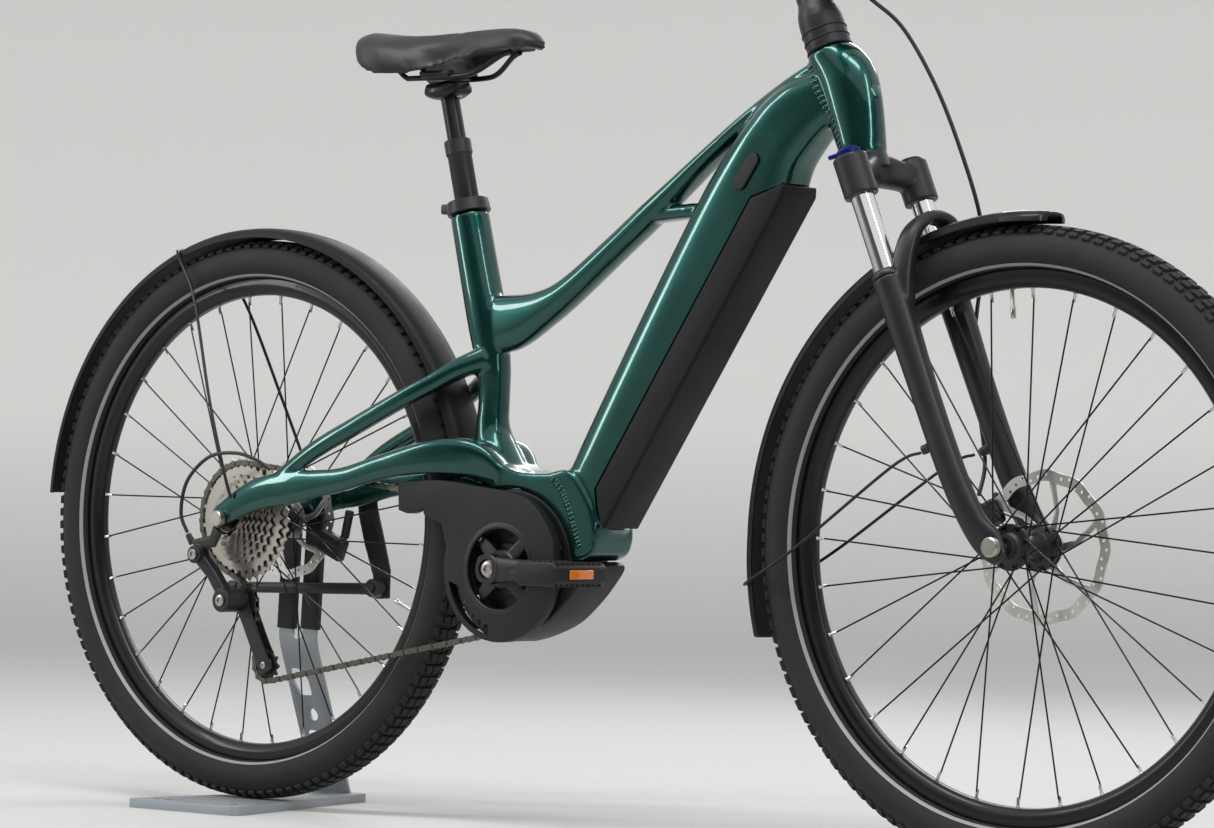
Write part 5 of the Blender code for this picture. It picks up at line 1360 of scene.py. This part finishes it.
@dataclass
class Stand:
    """Bent plate stand that holds the rear axle, with two rubber-lined sleeves."""

    bench: Workbench
    lean: float = math.tan(math.radians(3.0))
    foot_z: float = -380.0
    thickness: float = 12.0
    half_width: float = 33.8
    half_plate: float = 2.6

    def rounded(self, corners: Sequence[Flat], radius: float) -> list[Flat]:
        """Outline whose corners are turned into short arcs."""
        result = []
        for i, corner in enumerate(corners):
            here = Vector(corner)
            for other in (corners[i - 1], corners[(i + 1) % len(corners)]):
                reach = min(radius, (Vector(other) - here).length * 0.4)
                result.append((here + (Vector(other) - here).normalized() * reach, here))
        outline = []
        for k in range(0, len(result), 2):
            (a, middle), (b, _) = result[k], result[k + 1]
            for t in (0.0, 0.25, 0.5, 0.75, 1.0):
                point = a * (1 - t) ** 2 + middle * 2 * t * (1 - t) + b * t ** 2
                outline.append((point.x, point.y))
        return outline

    def flat_plate(self, outline: Sequence[Flat], low: float, high: float) -> bpy.types.Object:
        """Plate that lies flat, extruded upwards."""
        plate = prism(outline, low, high)
        plate.data.transform(Matrix(((1, 0, 0, 0), (0, 0, 1, 0), (0, 1, 0, 0), (0, 0, 0, 1))))
        plate.data.flip_normals()
        return plate

    def build(self) -> None:
        """Builds foot, upright, cut-outs and sleeves."""
        foot = self.flat_plate(self.rounded([(-95, -140), (95, -140), (100, -128), (34, 150), (30, 186), (-42, 186),
                                             (-46, 150), (-100, -128)], 9), self.foot_z,
                               self.foot_z + self.thickness - 0.3)
        lean, half_width, half_plate = self.lean, self.half_width, self.half_plate
        upright = sweep([(lean * (self.foot_z + 6), 170, self.foot_z + 6, half_plate, half_width),
                         (lean * -175, 88, -172, half_plate, half_width),
                         (lean * -160, 84, -158, half_plate, half_width),
                         (lean * 15, 84, 15, half_plate, half_width)], power=14, count=64)
        cut_foot = self.flat_plate(self.rounded([(-55, -120), (55, -120), (55, -104), (-55, -104)], 7),
                                   self.foot_z - 20, self.foot_z + 40)
        union(foot, upright)
        slot = sweep([(lean * -150, 84, -150, 14, 9.6), (lean * 40, 84, 40, 14, 9.6)], power=8, count=32)
        slot_end = rod((lean * -150, 70, -150), (lean * -150, 98, -150), 9.5, 48)
        window = prism(self.rounded([(-38, -200), (-18, -200), (-6, -214), (-6, -236), (-28, -236), (-38, -216)], 4),
                       60, 200)
        hole = rod((-14, 60, -262), (-14, 200, -262), 8.5, 48)
        low_window = prism(self.rounded([(-36, -284), (-12, -284), (4, -300), (4, -334), (-40, -334)], 6), 60, 200)
        for tool in (cut_foot, slot, slot_end, window, hole, low_window):
            carve(foot, tool)
        bevel_edges(foot, 0.9, 3, 50)
        self.bench.finish(foot, "stand_bent_plate", "stand", STAND_GREY, ("stand_plate",), level=True, sharp=30)
        for side, name in ((1, "front"), (-1, "rear")):
            middle = side * 21.6
            sleeve = sweep([(lean * -146 + middle, 84, -146, 5.6, 15.0), (lean * 22 + middle, 84, 22, 5.6, 15.0)],
                           power=6, count=48)
            room = sweep([(lean * -160 + middle, 84, -160, half_plate + 0.3, 12.7),
                          (lean * 19 + middle, 84, 19, half_plate + 0.3, 12.7)], power=12, count=48)
            carve(sleeve, room)
            self.bench.finish(bevel_edges(sleeve, 0.8, 2, 40), f"stand_sleeve_{name}_lining", "stand", GRIP_RUBBER,
                              (f"stand_sleeve_{name}",), level=True, sharp=40)
        pads = [rod((x, y, self.foot_z - 0.0), (x, y, self.foot_z + 0.0 + 12.6), 5.0, 32, 4.4)
                for x, y in ((-70, -112), (70, -112), (-8, 140))]
        self.bench.finish(gather(pads), "stand_screw_caps", "stand", NICKEL, level=True)


# ---------------------------------------------------------------- fork and cockpit
@dataclass
class Fork:
    """Suspension fork with chromed legs, cast lowers, brake and hose."""

    bench: Workbench
    offset: float = 18.5
    spacing: float = 60.0

    def build(self) -> None:
        """Builds the crown, the legs, the lowers and the brake."""
        self.crown()
        self.lowers()
        self.brake()

    def crown(self) -> None:
        """Forged crown on the steerer, chromed stanchions, the lockout knob and the top cap."""
        path = [(*head_point(18.5, 474, -60), 19, 17), (*head_point(14, 481, -40), 17, 17),
                (*head_point(6, 490, -18), 18, 20), (*head_point(4, 492, 0), 18, 22),
                (*head_point(6, 490, 18), 18, 20), (*head_point(14, 481, 40), 17, 17),
                (*head_point(18.5, 474, 60), 19, 17)]
        parts = [sweep(smooth_path(path, 5), power=2.8, count=40, side=(1, 0, 0))]
        for side in (-1, 1):
            y = side * self.spacing
            parts.append(rod(head_point(self.offset, 446.5, y), head_point(self.offset, 497, y), 20.5, 56))
        parts.append(rod(head_point(0, 488), head_point(0, 517.5), 26.5, 56))
        crown = remeshed(gather(parts), 1.7, 5)
        union(crown, rod(head_point(0, 500), head_point(0, 742), 14.2, 40))
        for side in (-1, 1):
            y = side * self.spacing
            carve(crown, rod(head_point(self.offset, 440, y), head_point(self.offset, 490, y), 14.5, 48))
        self.bench.finish(crown, "fork_crown_forged", "steering", CHARCOAL, ("fork_crown",), sharp=45)
        for side, name in ((-1, "right"), (1, "left")):
            y = side * self.spacing
            tube = rod(head_point(self.offset, 220, y), head_point(self.offset, 489.5, y), 14.0, 72)
            self.bench.finish(tube, f"stanchion_{name}_chromed", "steering", CHROME, (f"stanchion_{name}",))
        up = Vector(head_point(0, 1)) - Vector(head_point(0, 0))
        place = head_point(self.offset, 498.2, -self.spacing)
        knob = turned([(0, 0), (14.6, 0), (15.0, 0.8), (15.0, 4.8), (13.8, 6.6), (12.4, 8.0), (0, 8.6)], place, up, 72)
        notch = gather([rod(Vector(place) + Matrix.Rotation(k * math.pi / 9, 3, up) @ Vector((0, 15.6, 0)) - up * 2,
                            Vector(place) + Matrix.Rotation(k * math.pi / 9, 3, up) @ Vector((0, 15.6, 0)) + up * 12,
                            1.1, 10) for k in range(18)])
        carve(knob, notch)
        tab = sweep([(*head_point(self.offset - 4, 503, -62), 4, 3), (*head_point(self.offset - 22, 504, -70), 4,
                                                                     2.4)], power=3, count=24, dome=2)
        union(knob, tab)
        self.bench.finish(knob, "lockout_dial", "lockout", BLUE, ("lockout_knob",), sharp=30)
        top_cap = turned([(0, 0), (16.5, 0), (16.5, 2.4), (15.0, 4.0), (0, 4.4)],
                         head_point(self.offset, 497.0, self.spacing), up, 56)
        self.bench.finish(top_cap, "fork_top_cap", "steering", NYLON)

    def lowers(self) -> None:
        """One casting: both legs, the arch and the dropouts, with wiper seals on top."""
        parts = []
        for side in (-1, 1):
            y = side * self.spacing
            path = [(*head_point(18.5, 344, y), 18.0, 18.5), (*head_point(18.5, 300, y), 17.5, 18.5),
                    (*head_point(18.0, 200, y), 15.5, 16.5), (*head_point(20.0, 100, y), 14.5, 16.5),
                    (*head_point(26.0, 40, side * 59), 12.0, 17.0), (*head_point(36.0, 8, side * 57), 9.0, 19.0),
                    (*head_point(44.0, -16, side * 56), 7.5, 10.0)]
            parts.append(sweep(smooth_path(path, 6), power=2.2, count=48, dome=1.5))
            parts.append(rod(head_point(8, 140, side * 59), head_point(-10, 140, side * 58), 6.0, 32))
        arch = [(*head_point(22, 308, -56), 15.5, 13), (*head_point(38, 348, -54), 14.5, 11),
                (*head_point(55, 382, -44), 13, 9), (*head_point(64, 398, -24), 13, 7.5),
                (*head_point(66, 403, 0), 13, 7.0), (*head_point(64, 398, 24), 13, 7.5),
                (*head_point(55, 382, 44), 13, 9), (*head_point(38, 348, 54), 14.5, 11),
                (*head_point(22, 308, 56), 15.5, 13)]
        parts.append(sweep(smooth_path(arch, 6), power=2.8, count=32, side=(1, 0, 0.4)))
        lowers = remeshed(gather(parts), 1.9, 6)
        for side in (-1, 1):
            y = side * self.spacing
            carve(lowers, rod(head_point(self.offset, 120, y), head_point(self.offset, 420, y), 14.5, 48))
        carve(lowers, rod((WHEELBASE, -90, 0), (WHEELBASE, 90, 0), 7.8, 32))
        carve(lowers, turned([(1.0, -50.0), (30.0, -50.0), (30.0, 47.5), (1.0, 47.5)], (WHEELBASE, 0, 0), count=56))
        self.bench.finish(lowers, "fork_lowers_cast", "fork_lower", CHARCOAL, ("fork_lowers",), sharp=45)
        up = Vector(head_point(0, 1)) - Vector(head_point(0, 0))
        seals = [turned([(14.2, 0), (17.8, 0), (18.2, 1.5), (17.0, 6.0), (15.0, 8.5), (14.2, 8.5)],
                        head_point(self.offset, 343.6, side * self.spacing), up, 56) for side in (-1, 1)]
        self.bench.finish(gather(seals), "fork_wipers", "fork_lower", HOSE_RUBBER)
        axle = turned([(0, -75), (9.5, -75), (11.5, -73.5), (11.5, -67.5), (5.8, -66.5), (5.8, 68), (0, 68)],
                      (WHEELBASE, 0, 0), count=48)
        self.bench.finish(axle, "front_axle_bolt", "fork_lower", NICKEL, ("front_axle",))

    def brake(self) -> None:
        """Disc caliper on the left leg with its hose to the right lever."""
        caliper = remeshed(self.bench.node_copy("front_caliper"), 0.9, 4)
        self.bench.finish(caliper, "front_caliper_cast", "fork_lower", CHARCOAL, ("front_caliper",), sharp=45)
        route = [head_point(86, 749, -171.5), head_point(92, 742, -148), head_point(92, 712, -100),
                 head_point(84, 692, -50), head_point(84, 672, -8), head_point(98, 630, 14),
                 head_point(108, 549, 26), head_point(105, 460, 38), head_point(90, 392, 56),
                 head_point(60, 346, 76), head_point(32, 306, 82), head_point(10, 262, 81),
                 head_point(-4, 200, 77), head_point(-13, 130, 66), head_point(-24, 92, 48)]
        shape = hose(route, 2.5, 10, 16)
        shape.data.transform(self.bench.bike)
        shape.name = shape.data.name = "brake_hose_front"
        shape.data.materials.append(HOSE_RUBBER.make())
        shape.data.shade_smooth()
        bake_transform(shape)
        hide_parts("front_brake_hose")
        LOG.info("brake_hose_front: %d faces", len(shape.data.polygons))


@dataclass
class Cockpit:
    """Stem, handlebar, grips, levers, display and switches."""

    bench: Workbench

    def build(self) -> None:
        """Builds everything above the head tube."""
        self.stem()
        self.bar()
        self.levers()
        self.display()

    def stem(self) -> None:
        """Headset cover, stem and its face-plate bolts."""
        up = Vector(head_point(0, 1)) - Vector(head_point(0, 0))
        tower = turned([(14.6, 0), (26.4, 0), (27.0, 1.0), (27.0, 12.6), (26.2, 13.4), (27.0, 14.2), (27.0, 33),
                        (26.6, 42), (25.0, 51), (22.4, 58), (20.6, 64), (20.5, 90), (19.0, 92), (14.6, 92)],
                       head_point(0, 648.4), up, 72)
        neck = sweep(smooth_path([(*head_point(15, 722), 17, 17), (*head_point(46, 731), 15, 13),
                                  (*head_point(62, 736), 20, 15)], 5), power=2.4, count=40)
        clamp = rod(head_point(72, 738, -22), head_point(72, 738, 22), 21, 56)
        stem = remeshed(gather([tower, neck, clamp]), 1.5, 4)
        carve(stem, rod(head_point(72, 738, -30), head_point(72, 738, 30), 17.0, 48))
        carve(stem, rod(head_point(0, 640), head_point(0, 760), 14.7, 48))
        self.bench.finish(stem, "stem_forged", "steering", CHARCOAL, ("stem",), sharp=45)
        rings = [turned([(25.5, 0), (27.9, 0), (28.1, 0.5), (27.9, 1.1), (25.5, 1.1)], head_point(0, along), up, 72)
                 for along in (649.6, 661.0, 672.4)]
        self.bench.finish(gather(rings), "headset_spacer_edges", "steering", NYLON)
        ahead = Vector(head_point(1, 0)) - Vector(head_point(0, 0))
        bolts = [bolt(head_point(91.5, 738 + dz, dy), ahead, 3.4, 2.6) for dz in (-11, 11) for dy in (-15, 15)]
        bolts.append(bolt(head_point(0, 740.6, 0), up, 8.0, 3.4))
        self.bench.finish(gather(bolts), "stem_bolts", "steering", NICKEL)

    def bar(self) -> None:
        """Handlebar with swept ends, and the ribbed grips."""
        path = [(*head_point(ahead, along, y), radius, radius) for y, ahead, along, radius in (
            (-350, 50, 752, 11.1), (-210, 62, 757, 11.1), (-150, 70, 757, 11.3), (-80, 73, 743, 14.0),
            (-40, 72, 738, 15.9), (0, 72, 738, 15.9), (40, 72, 738, 15.9), (80, 73, 743, 14.0),
            (150, 70, 757, 11.3), (210, 62, 757, 11.1), (350, 50, 752, 11.1))]
        bar = sweep(smooth_path(path, 8), count=40, side=(0, 0, 1))
        self.bench.finish(bar, "handlebar_tube", "steering", RIM_BLACK, ("handlebar",), sharp=50)
        for side, name in ((-1, "right"), (1, "left")):
            start = Vector(head_point(61.0, 757, side * 218))
            end = Vector(head_point(49.6, 752, side * 353))
            length = (end - start).length
            profile = [(12.0, 0), (17.2, 0), (17.4, 1.0), (17.4, 6.0), (16.2, 7.0)]
            for k in range(19):
                h = 9.5 + k * 6.2
                profile += [(15.1, h), (16.2, h + 0.7), (16.2, h + 3.6), (15.1, h + 4.3)]
            profile += [(16.4, length - 6), (16.6, length - 1.2), (15.6, length), (0, length), (0, length - 2.2),
                        (12.0, length - 2.2)]
            grip = turned(profile, start, end - start, 56)
            self.bench.finish(grip, f"grip_{name}_ribbed", "steering", GRIP_RUBBER, (f"grip_{name}",), sharp=40)

    def levers(self) -> None:
        """Hydraulic levers with their reservoirs, the shifter and the assist switch."""
        for side, name in ((-1, "right"), (1, "left")):
            mount = remeshed(self.bench.node_copy(f"lever_mount_{name}"), 0.8, 5)
            self.bench.finish(mount, f"lever_mount_{name}_cast", "steering", CHARCOAL, (f"lever_mount_{name}",),
                              sharp=45)
            pivot = Vector(head_point(104.0, 733.0, side * 188.0))
            blade = sweep(smooth_path([(*(pivot + Vector((0, side * -4, 0))), 4.0, 8),
                                       (*(pivot + Vector((6, side * 20, -1))), 4.0, 7),
                                       (*(pivot + Vector((6, side * 55, -3))), 4.0, 6),
                                       (*(pivot + Vector((-2, side * 92, -5))), 4.0, 6),
                                       (*(pivot + Vector((2, side * 104, -5))), 4.0, 6)], 6),
                          power=2.6, count=28, side=(0, 0, 1), dome=4)
            self.bench.finish(blade, f"brake_blade_{name}", f"{name}_brake", CHARCOAL, (f"brake_lever_{name}",),
                              sharp=60)
            pin = rod(pivot + Vector((-1, 0, -8.5)), pivot + Vector((-1, 0, 14.2)), 2.6, 24)
            self.bench.finish(pin, f"brake_pin_{name}", "steering", NICKEL)
        self.bench.refine("shift_lever", "shifter", NYLON, 0.6)
        self.bench.refine("assist_button", "assist_switch", GUARD_EDGE, 0.6)

    def display(self) -> None:
        """Display with a dark glass set into its rounded case."""
        centre = Vector(head_point(72, 738)) + Vector((-2, 0, 40))
        turn = Matrix.Rotation(math.radians(58), 3, "Y")
        case = block((16, 74, 50), centre, turn, bevel=5.5, segments=5)
        foot = rod(head_point(60, 757, 0), head_point(56, 770, 0), 9.0, 32)
        union(case, foot)
        self.bench.finish(case, "display_case", "steering", NYLON, ("display",), sharp=40)
        glass = block((1.2, 62, 38), centre + turn @ Vector((-8.1, 0, 0)), turn, bevel=0.5)
        self.bench.finish(glass, "display_glass", "steering", SCREEN)


@dataclass
class Fenders:
    """Both fenders with their wire stays and edge beads."""

    bench: Workbench
    steps: int = 96

    def ring(self, centre_x: float, degrees: float, half: float) -> list[Vector]:
        """Cross-section: a shallow channel with rolled edges."""
        outer = [(-half, -13), (-half + 0.6, -8.6), (-half + 3.2, -4), (-half * 0.7, -1.2), (-half * 0.36, 0),
                 (0, 0.3), (half * 0.36, 0), (half * 0.7, -1.2), (half - 3.2, -4), (half - 0.6, -8.6), (half, -13)]
        inner = [(half - 2.2, -13), (half - 2.8, -9.0), (half - 5, -6), (half * 0.6, -3.4), (0, -2.0),
                 (-half * 0.6, -3.4), (-half + 5, -6), (-half + 2.8, -9.0), (-half + 2.2, -13)]
        return [Vector(polar((centre_x, 0), FENDER_RADIUS + lift, degrees, y)) for y, lift in outer + inner]

    def build(self) -> None:
        """Builds the rear fender, the front fender and the front flap."""
        rear = loft([self.ring(0.0, 176 + (14 - 176) * i / self.steps, 30.0) for i in range(self.steps + 1)])
        self.bench.finish(rear, "rear_fender_shell", "bike_frame", ABS, ("rear_fender",), sharp=40)
        over = [polar((0, 0), 372.0, 111.0, -34.0), polar((0, 0), 384.2, 112.2, -20.0),
                polar((0, 0), 386.0, 112.5, 0.0)]
        half = [(22, -80, 28), (8, -80, 62), (-32, -70, 155), (-88, -48, 290)] + over
        wire = half + [(x, -y, z) for x, y, z in reversed(half[:-1])]
        self.bench.finish(hose(wire, 2.1, 8, 12), "rear_fender_stay", "bike_frame", RIM_BLACK, sharp=60)
        front = loft([self.ring(WHEELBASE, 87 + (198 - 87) * i / self.steps,
                                30.0 + max(0.0, (i / self.steps * 18 - 15) * 2.0)) for i in range(self.steps + 1)])
        self.bench.finish(front, "front_fender_shell", "fork_lower", ABS, ("front_fender",), sharp=40)
        tip = []
        for degrees, grow in ((85.6, -9.0), (85.9, -3.5), (86.6, 0.0), (87.6, 1.2), (90.0, 1.5), (92.6, 1.4), (94.0, 0.9)):
            ring = self.ring(WHEELBASE, degrees, 30.0 + grow)
            middle = Vector(polar((WHEELBASE, 0), FENDER_RADIUS - 5, degrees))
            tip.append([middle + (p - middle) * (1.0 + grow * 0.02) for p in ring])
        self.bench.finish(loft(tip), "front_fender_cap", "fork_lower", RIM_BLACK, sharp=50)
        half = [head_point(-16.5, 140, -54), (1060, -52, 88), (920, -44, -8)]
        half += [polar((WHEELBASE, 0), 372.0, 188.0, -38.0), polar((WHEELBASE, 0), 384.5, 188.2, -21.0),
                 polar((WHEELBASE, 0), 386.2, 188.2, 0.0)]
        wire = half + [(x, -y, z) for x, y, z in reversed(half[:-1])]
        self.bench.finish(hose(wire, 1.9, 8, 12), "front_fender_stay", "fork_lower", RIM_BLACK, sharp=60)


@dataclass
class SmallParts:
    """Rear axle, brake, kickstand and gear cable."""

    bench: Workbench

    def build(self) -> None:
        """Builds each of them."""
        axle = turned([(0, -86.5), (9.0, -86.5), (10.5, -85.0), (10.5, -77.5), (6.0, -77.0), (6.0, 95), (5.0, 96),
                       (0, 96)], (0, 0, 0), count=48)
        self.bench.finish(axle, "rear_axle_bolt", "bike_frame", NICKEL, ("rear_axle",))
        caliper = remeshed(self.bench.node_copy("rear_caliper"), 0.9, 4)
        self.bench.finish(caliper, "rear_caliper_cast", "bike_frame", CHARCOAL, ("rear_caliper",), sharp=45)
        bracket = remeshed(self.bench.node_copy("kickstand_bracket"), 1.0, 4)
        self.bench.finish(bracket, "kickstand_plate", "bike_frame", CHARCOAL, ("kickstand_bracket",), sharp=45)
        leg = rod((150, 56, -86), (150, 71, -86), 12.0, 56)
        shaft = sweep(smooth_path([(146, 63, -87, 7, 8), (40, 64, -90, 6.5, 7.5), (-112, 66, -94, 6.5, 7.5)], 4),
                      power=2.4, count=36)
        shoe = sweep([(-100, 66, -93.7, 8.4, 8.6), (-118, 66, -94.6, 9.2, 9.6)], power=2.8, count=36, dome=2.5)
        union(leg, shaft)
        carve(leg, rod((150, 50, -86), (150, 76, -86), 6.4, 40))
        self.bench.finish(leg, "kickstand_forged", "kickstand", CHARCOAL, ("kickstand_leg",), sharp=40)
        self.bench.finish(shoe, "kickstand_shoe", "kickstand", HOSE_RUBBER)
        route = [(-57, -79, -20), (-67, -82, 6), (-54, -85, 48), (-14, -86, 80), (32, -84, 86), (66, -80, 78),
                 (86, -74, 66)]
        self.bench.finish(hose(route, 2.4, 10, 16), "shift_housing", "bike_frame", HOSE_RUBBER, ("shift_cable",))


# ---------------------------------------------------------------- studio
@dataclass
class Studio:
    """Pale sweep, soft lights and the camera."""

    bench: Workbench
    azimuth: float = 39.63
    elevation: float = -0.82
    roll: float = 1.49
    distance: float = 5213.1
    target: Point = (589.0, 0.0, 145.3)
    lens_mm: float = 125.31

    def camera(self) -> None:
        """Looks at the bicycle from its front right."""
        az, el, roll = (math.radians(v) for v in (self.azimuth, self.elevation, self.roll))
        back = Vector((math.sin(az) * math.cos(el), -math.cos(az) * math.cos(el), math.sin(el)))
        right = (-back).cross(Vector((0, 0, 1))).normalized()
        up = right.cross(-back)
        x_axis = right * math.cos(roll) + up * math.sin(roll)
        y_axis = up * math.cos(roll) - right * math.sin(roll)
        turn = Matrix((x_axis, y_axis, back)).transposed().to_4x4()
        tilt = self.bench.bike.to_3x3().normalized().to_4x4()
        place = self.bench.bike @ (Vector(self.target) + back * self.distance)
        data = bpy.data.cameras.new("camera")
        data.lens, data.sensor_width = self.lens_mm, 36.0
        data.clip_end = 60.0
        camera = bpy.data.objects.new("camera", data)
        camera.matrix_world = Matrix.Translation(place) @ tilt @ turn
        bpy.context.collection.objects.link(camera)
        bpy.context.scene.camera = camera

    def light(self, name: str, place: Point, aim: Point, size: Flat, power: float) -> None:
        """One rectangular softbox turned towards a point."""
        data = bpy.data.lights.new(name, "AREA")
        data.shape = "RECTANGLE"
        data.size, data.size_y = size
        data.energy = power
        lamp = bpy.data.objects.new(name, data)
        lamp.location = place
        lamp.rotation_euler = (Vector(place) - Vector(aim)).to_track_quat("Z", "Y").to_euler()
        bpy.context.collection.objects.link(lamp)

    def paper(self) -> bpy.types.Material:
        """Pale studio paper. It is painted paler higher up the wall, where less lamp light falls (painted light). On
        the camera's side, towards the lamps, the wall is painted dark grey to stand for the unlit studio that the
        lacquer reflects (painted shade).
        """
        material = WHITE_FLOOR.make()
        tree = material.node_tree
        shader = tree.nodes["Principled BSDF"]
        # Painted shade: this value turns the camera-side wall dark grey, standing for the unlit studio in the paint's
        # reflections
        near_wall_painted_shade = add_node(tree, "ShaderNodeAttribute", {"attribute_name": "near_wall_painted_shade"}).outputs["Fac"]
        # Painted light: the wall turns paler from the floor up to 0.7 m, making up for the lamps lighting it less than
        # the floor
        pale = shader.inputs["Base Color"].links[0].from_socket
        upper_wall_painted_light = add_node(tree, "ShaderNodeAttribute", {"attribute_name": "upper_wall_painted_light"}).outputs["Fac"]
        wall = add_node(tree, "ShaderNodeMix", {"data_type": "RGBA"}, {0: upper_wall_painted_light, 6: pale, 7: linear("#EEEEEC")})
        mixed = add_node(tree, "ShaderNodeMix", {"data_type": "RGBA"},
                         {0: near_wall_painted_shade, 6: wall.outputs[2], 7: linear("#6A6A69")})
        tree.links.new(mixed.outputs[2], shader.inputs["Base Color"])
        return material

    def build(self) -> None:
        """Builds floor, lights, world and camera."""
        sweep_line = [(0.0, 0.0), (3.5, 0.0), (6.8, 0.0)]
        sweep_line += [(6.8 + 2.6 * math.sin(math.radians(a)), 2.6 - 2.6 * math.cos(math.radians(a)))
                       for a in range(6, 91, 6)]
        sweep_line.append((9.4, 4.4))
        mesh = bpy.data.meshes.new("studio_sweep")
        mesh.from_pydata([(r * math.cos(a), r * math.sin(a), z) for r, z in sweep_line
                          for a in (2 * math.pi * k / 96 for k in range(96))], [],
                         [(i * 96 + k, i * 96 + (k + 1) % 96, (i + 1) * 96 + (k + 1) % 96, (i + 1) * 96 + k)
                          for i in range(len(sweep_line) - 1) for k in range(96)])
        floor = from_mesh(mesh)
        floor.name = "studio_sweep"
        mesh.shade_smooth()
        # Painted shade: 0 on the floor and the far side, rising to 1 up the wall on the camera's side
        near_wall_painted_shade = mesh.attributes.new("near_wall_painted_shade", "FLOAT", "POINT")
        for k, vert in enumerate(mesh.vertices):
            facing = max(0.0, (0.64 * vert.co.x - 0.77 * vert.co.y) / 9.4)
            near_wall_painted_shade.data[k].value = min(1.0, max(0.0, (vert.co.z - 0.02) / 0.8)) * min(1.0, facing * 1.8)
        # Painted light: 0 on the floor, 1 on the wall from 0.7 m up
        upper_wall_painted_light = mesh.attributes.new("upper_wall_painted_light", "FLOAT", "POINT")
        for k, vert in enumerate(mesh.vertices):
            upper_wall_painted_light.data[k].value = min(1.0, vert.co.z / 0.7)
        mesh.materials.append(self.paper())
        world = bpy.data.worlds.new("studio")
        world.use_nodes = True
        shade = world.node_tree.nodes["Background"]
        shade.inputs["Color"].default_value = (0.9, 0.9, 0.9, 1.0)
        shade.inputs["Strength"].default_value = 0.95
        bpy.context.scene.world = world
        bpy.context.scene.view_settings.view_transform = "Standard"
        self.light("key_top", (0.5, -1.3, 3.0), (0.2, 0, 0.5), (3.2, 0.5), 60)
        self.light("side_right", (-2.9, -2.4, 1.9), (0, 0, 0.5), (0.35, 2.4), 34)
        self.light("front_strip", (3.6, -0.4, 2.0), (0.4, 0, 0.5), (0.35, 2.4), 34)
        self.light("back_rim", (-1.0, 3.0, 2.4), (0, 0, 0.4), (3.0, 0.5), 40)
        self.camera()


def main(packed: dict) -> None:
    """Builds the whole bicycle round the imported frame.

    Args:
        packed: what the frame loader returned.
    """
    logging.basicConfig(level=logging.INFO, format="%(message)s")
    bench = Workbench(packed)
    for maker in (make_wheels, ):
        maker(bench)
    for part in (MainFrame(bench), Drivetrain(bench), Seat(bench), Stand(bench), Fork(bench), Cockpit(bench),
                 Fenders(bench), SmallParts(bench), Studio(bench)):
        LOG.info("%s", type(part).__name__)
        part.build()


if __name__ == "__main__":
    main(frame)
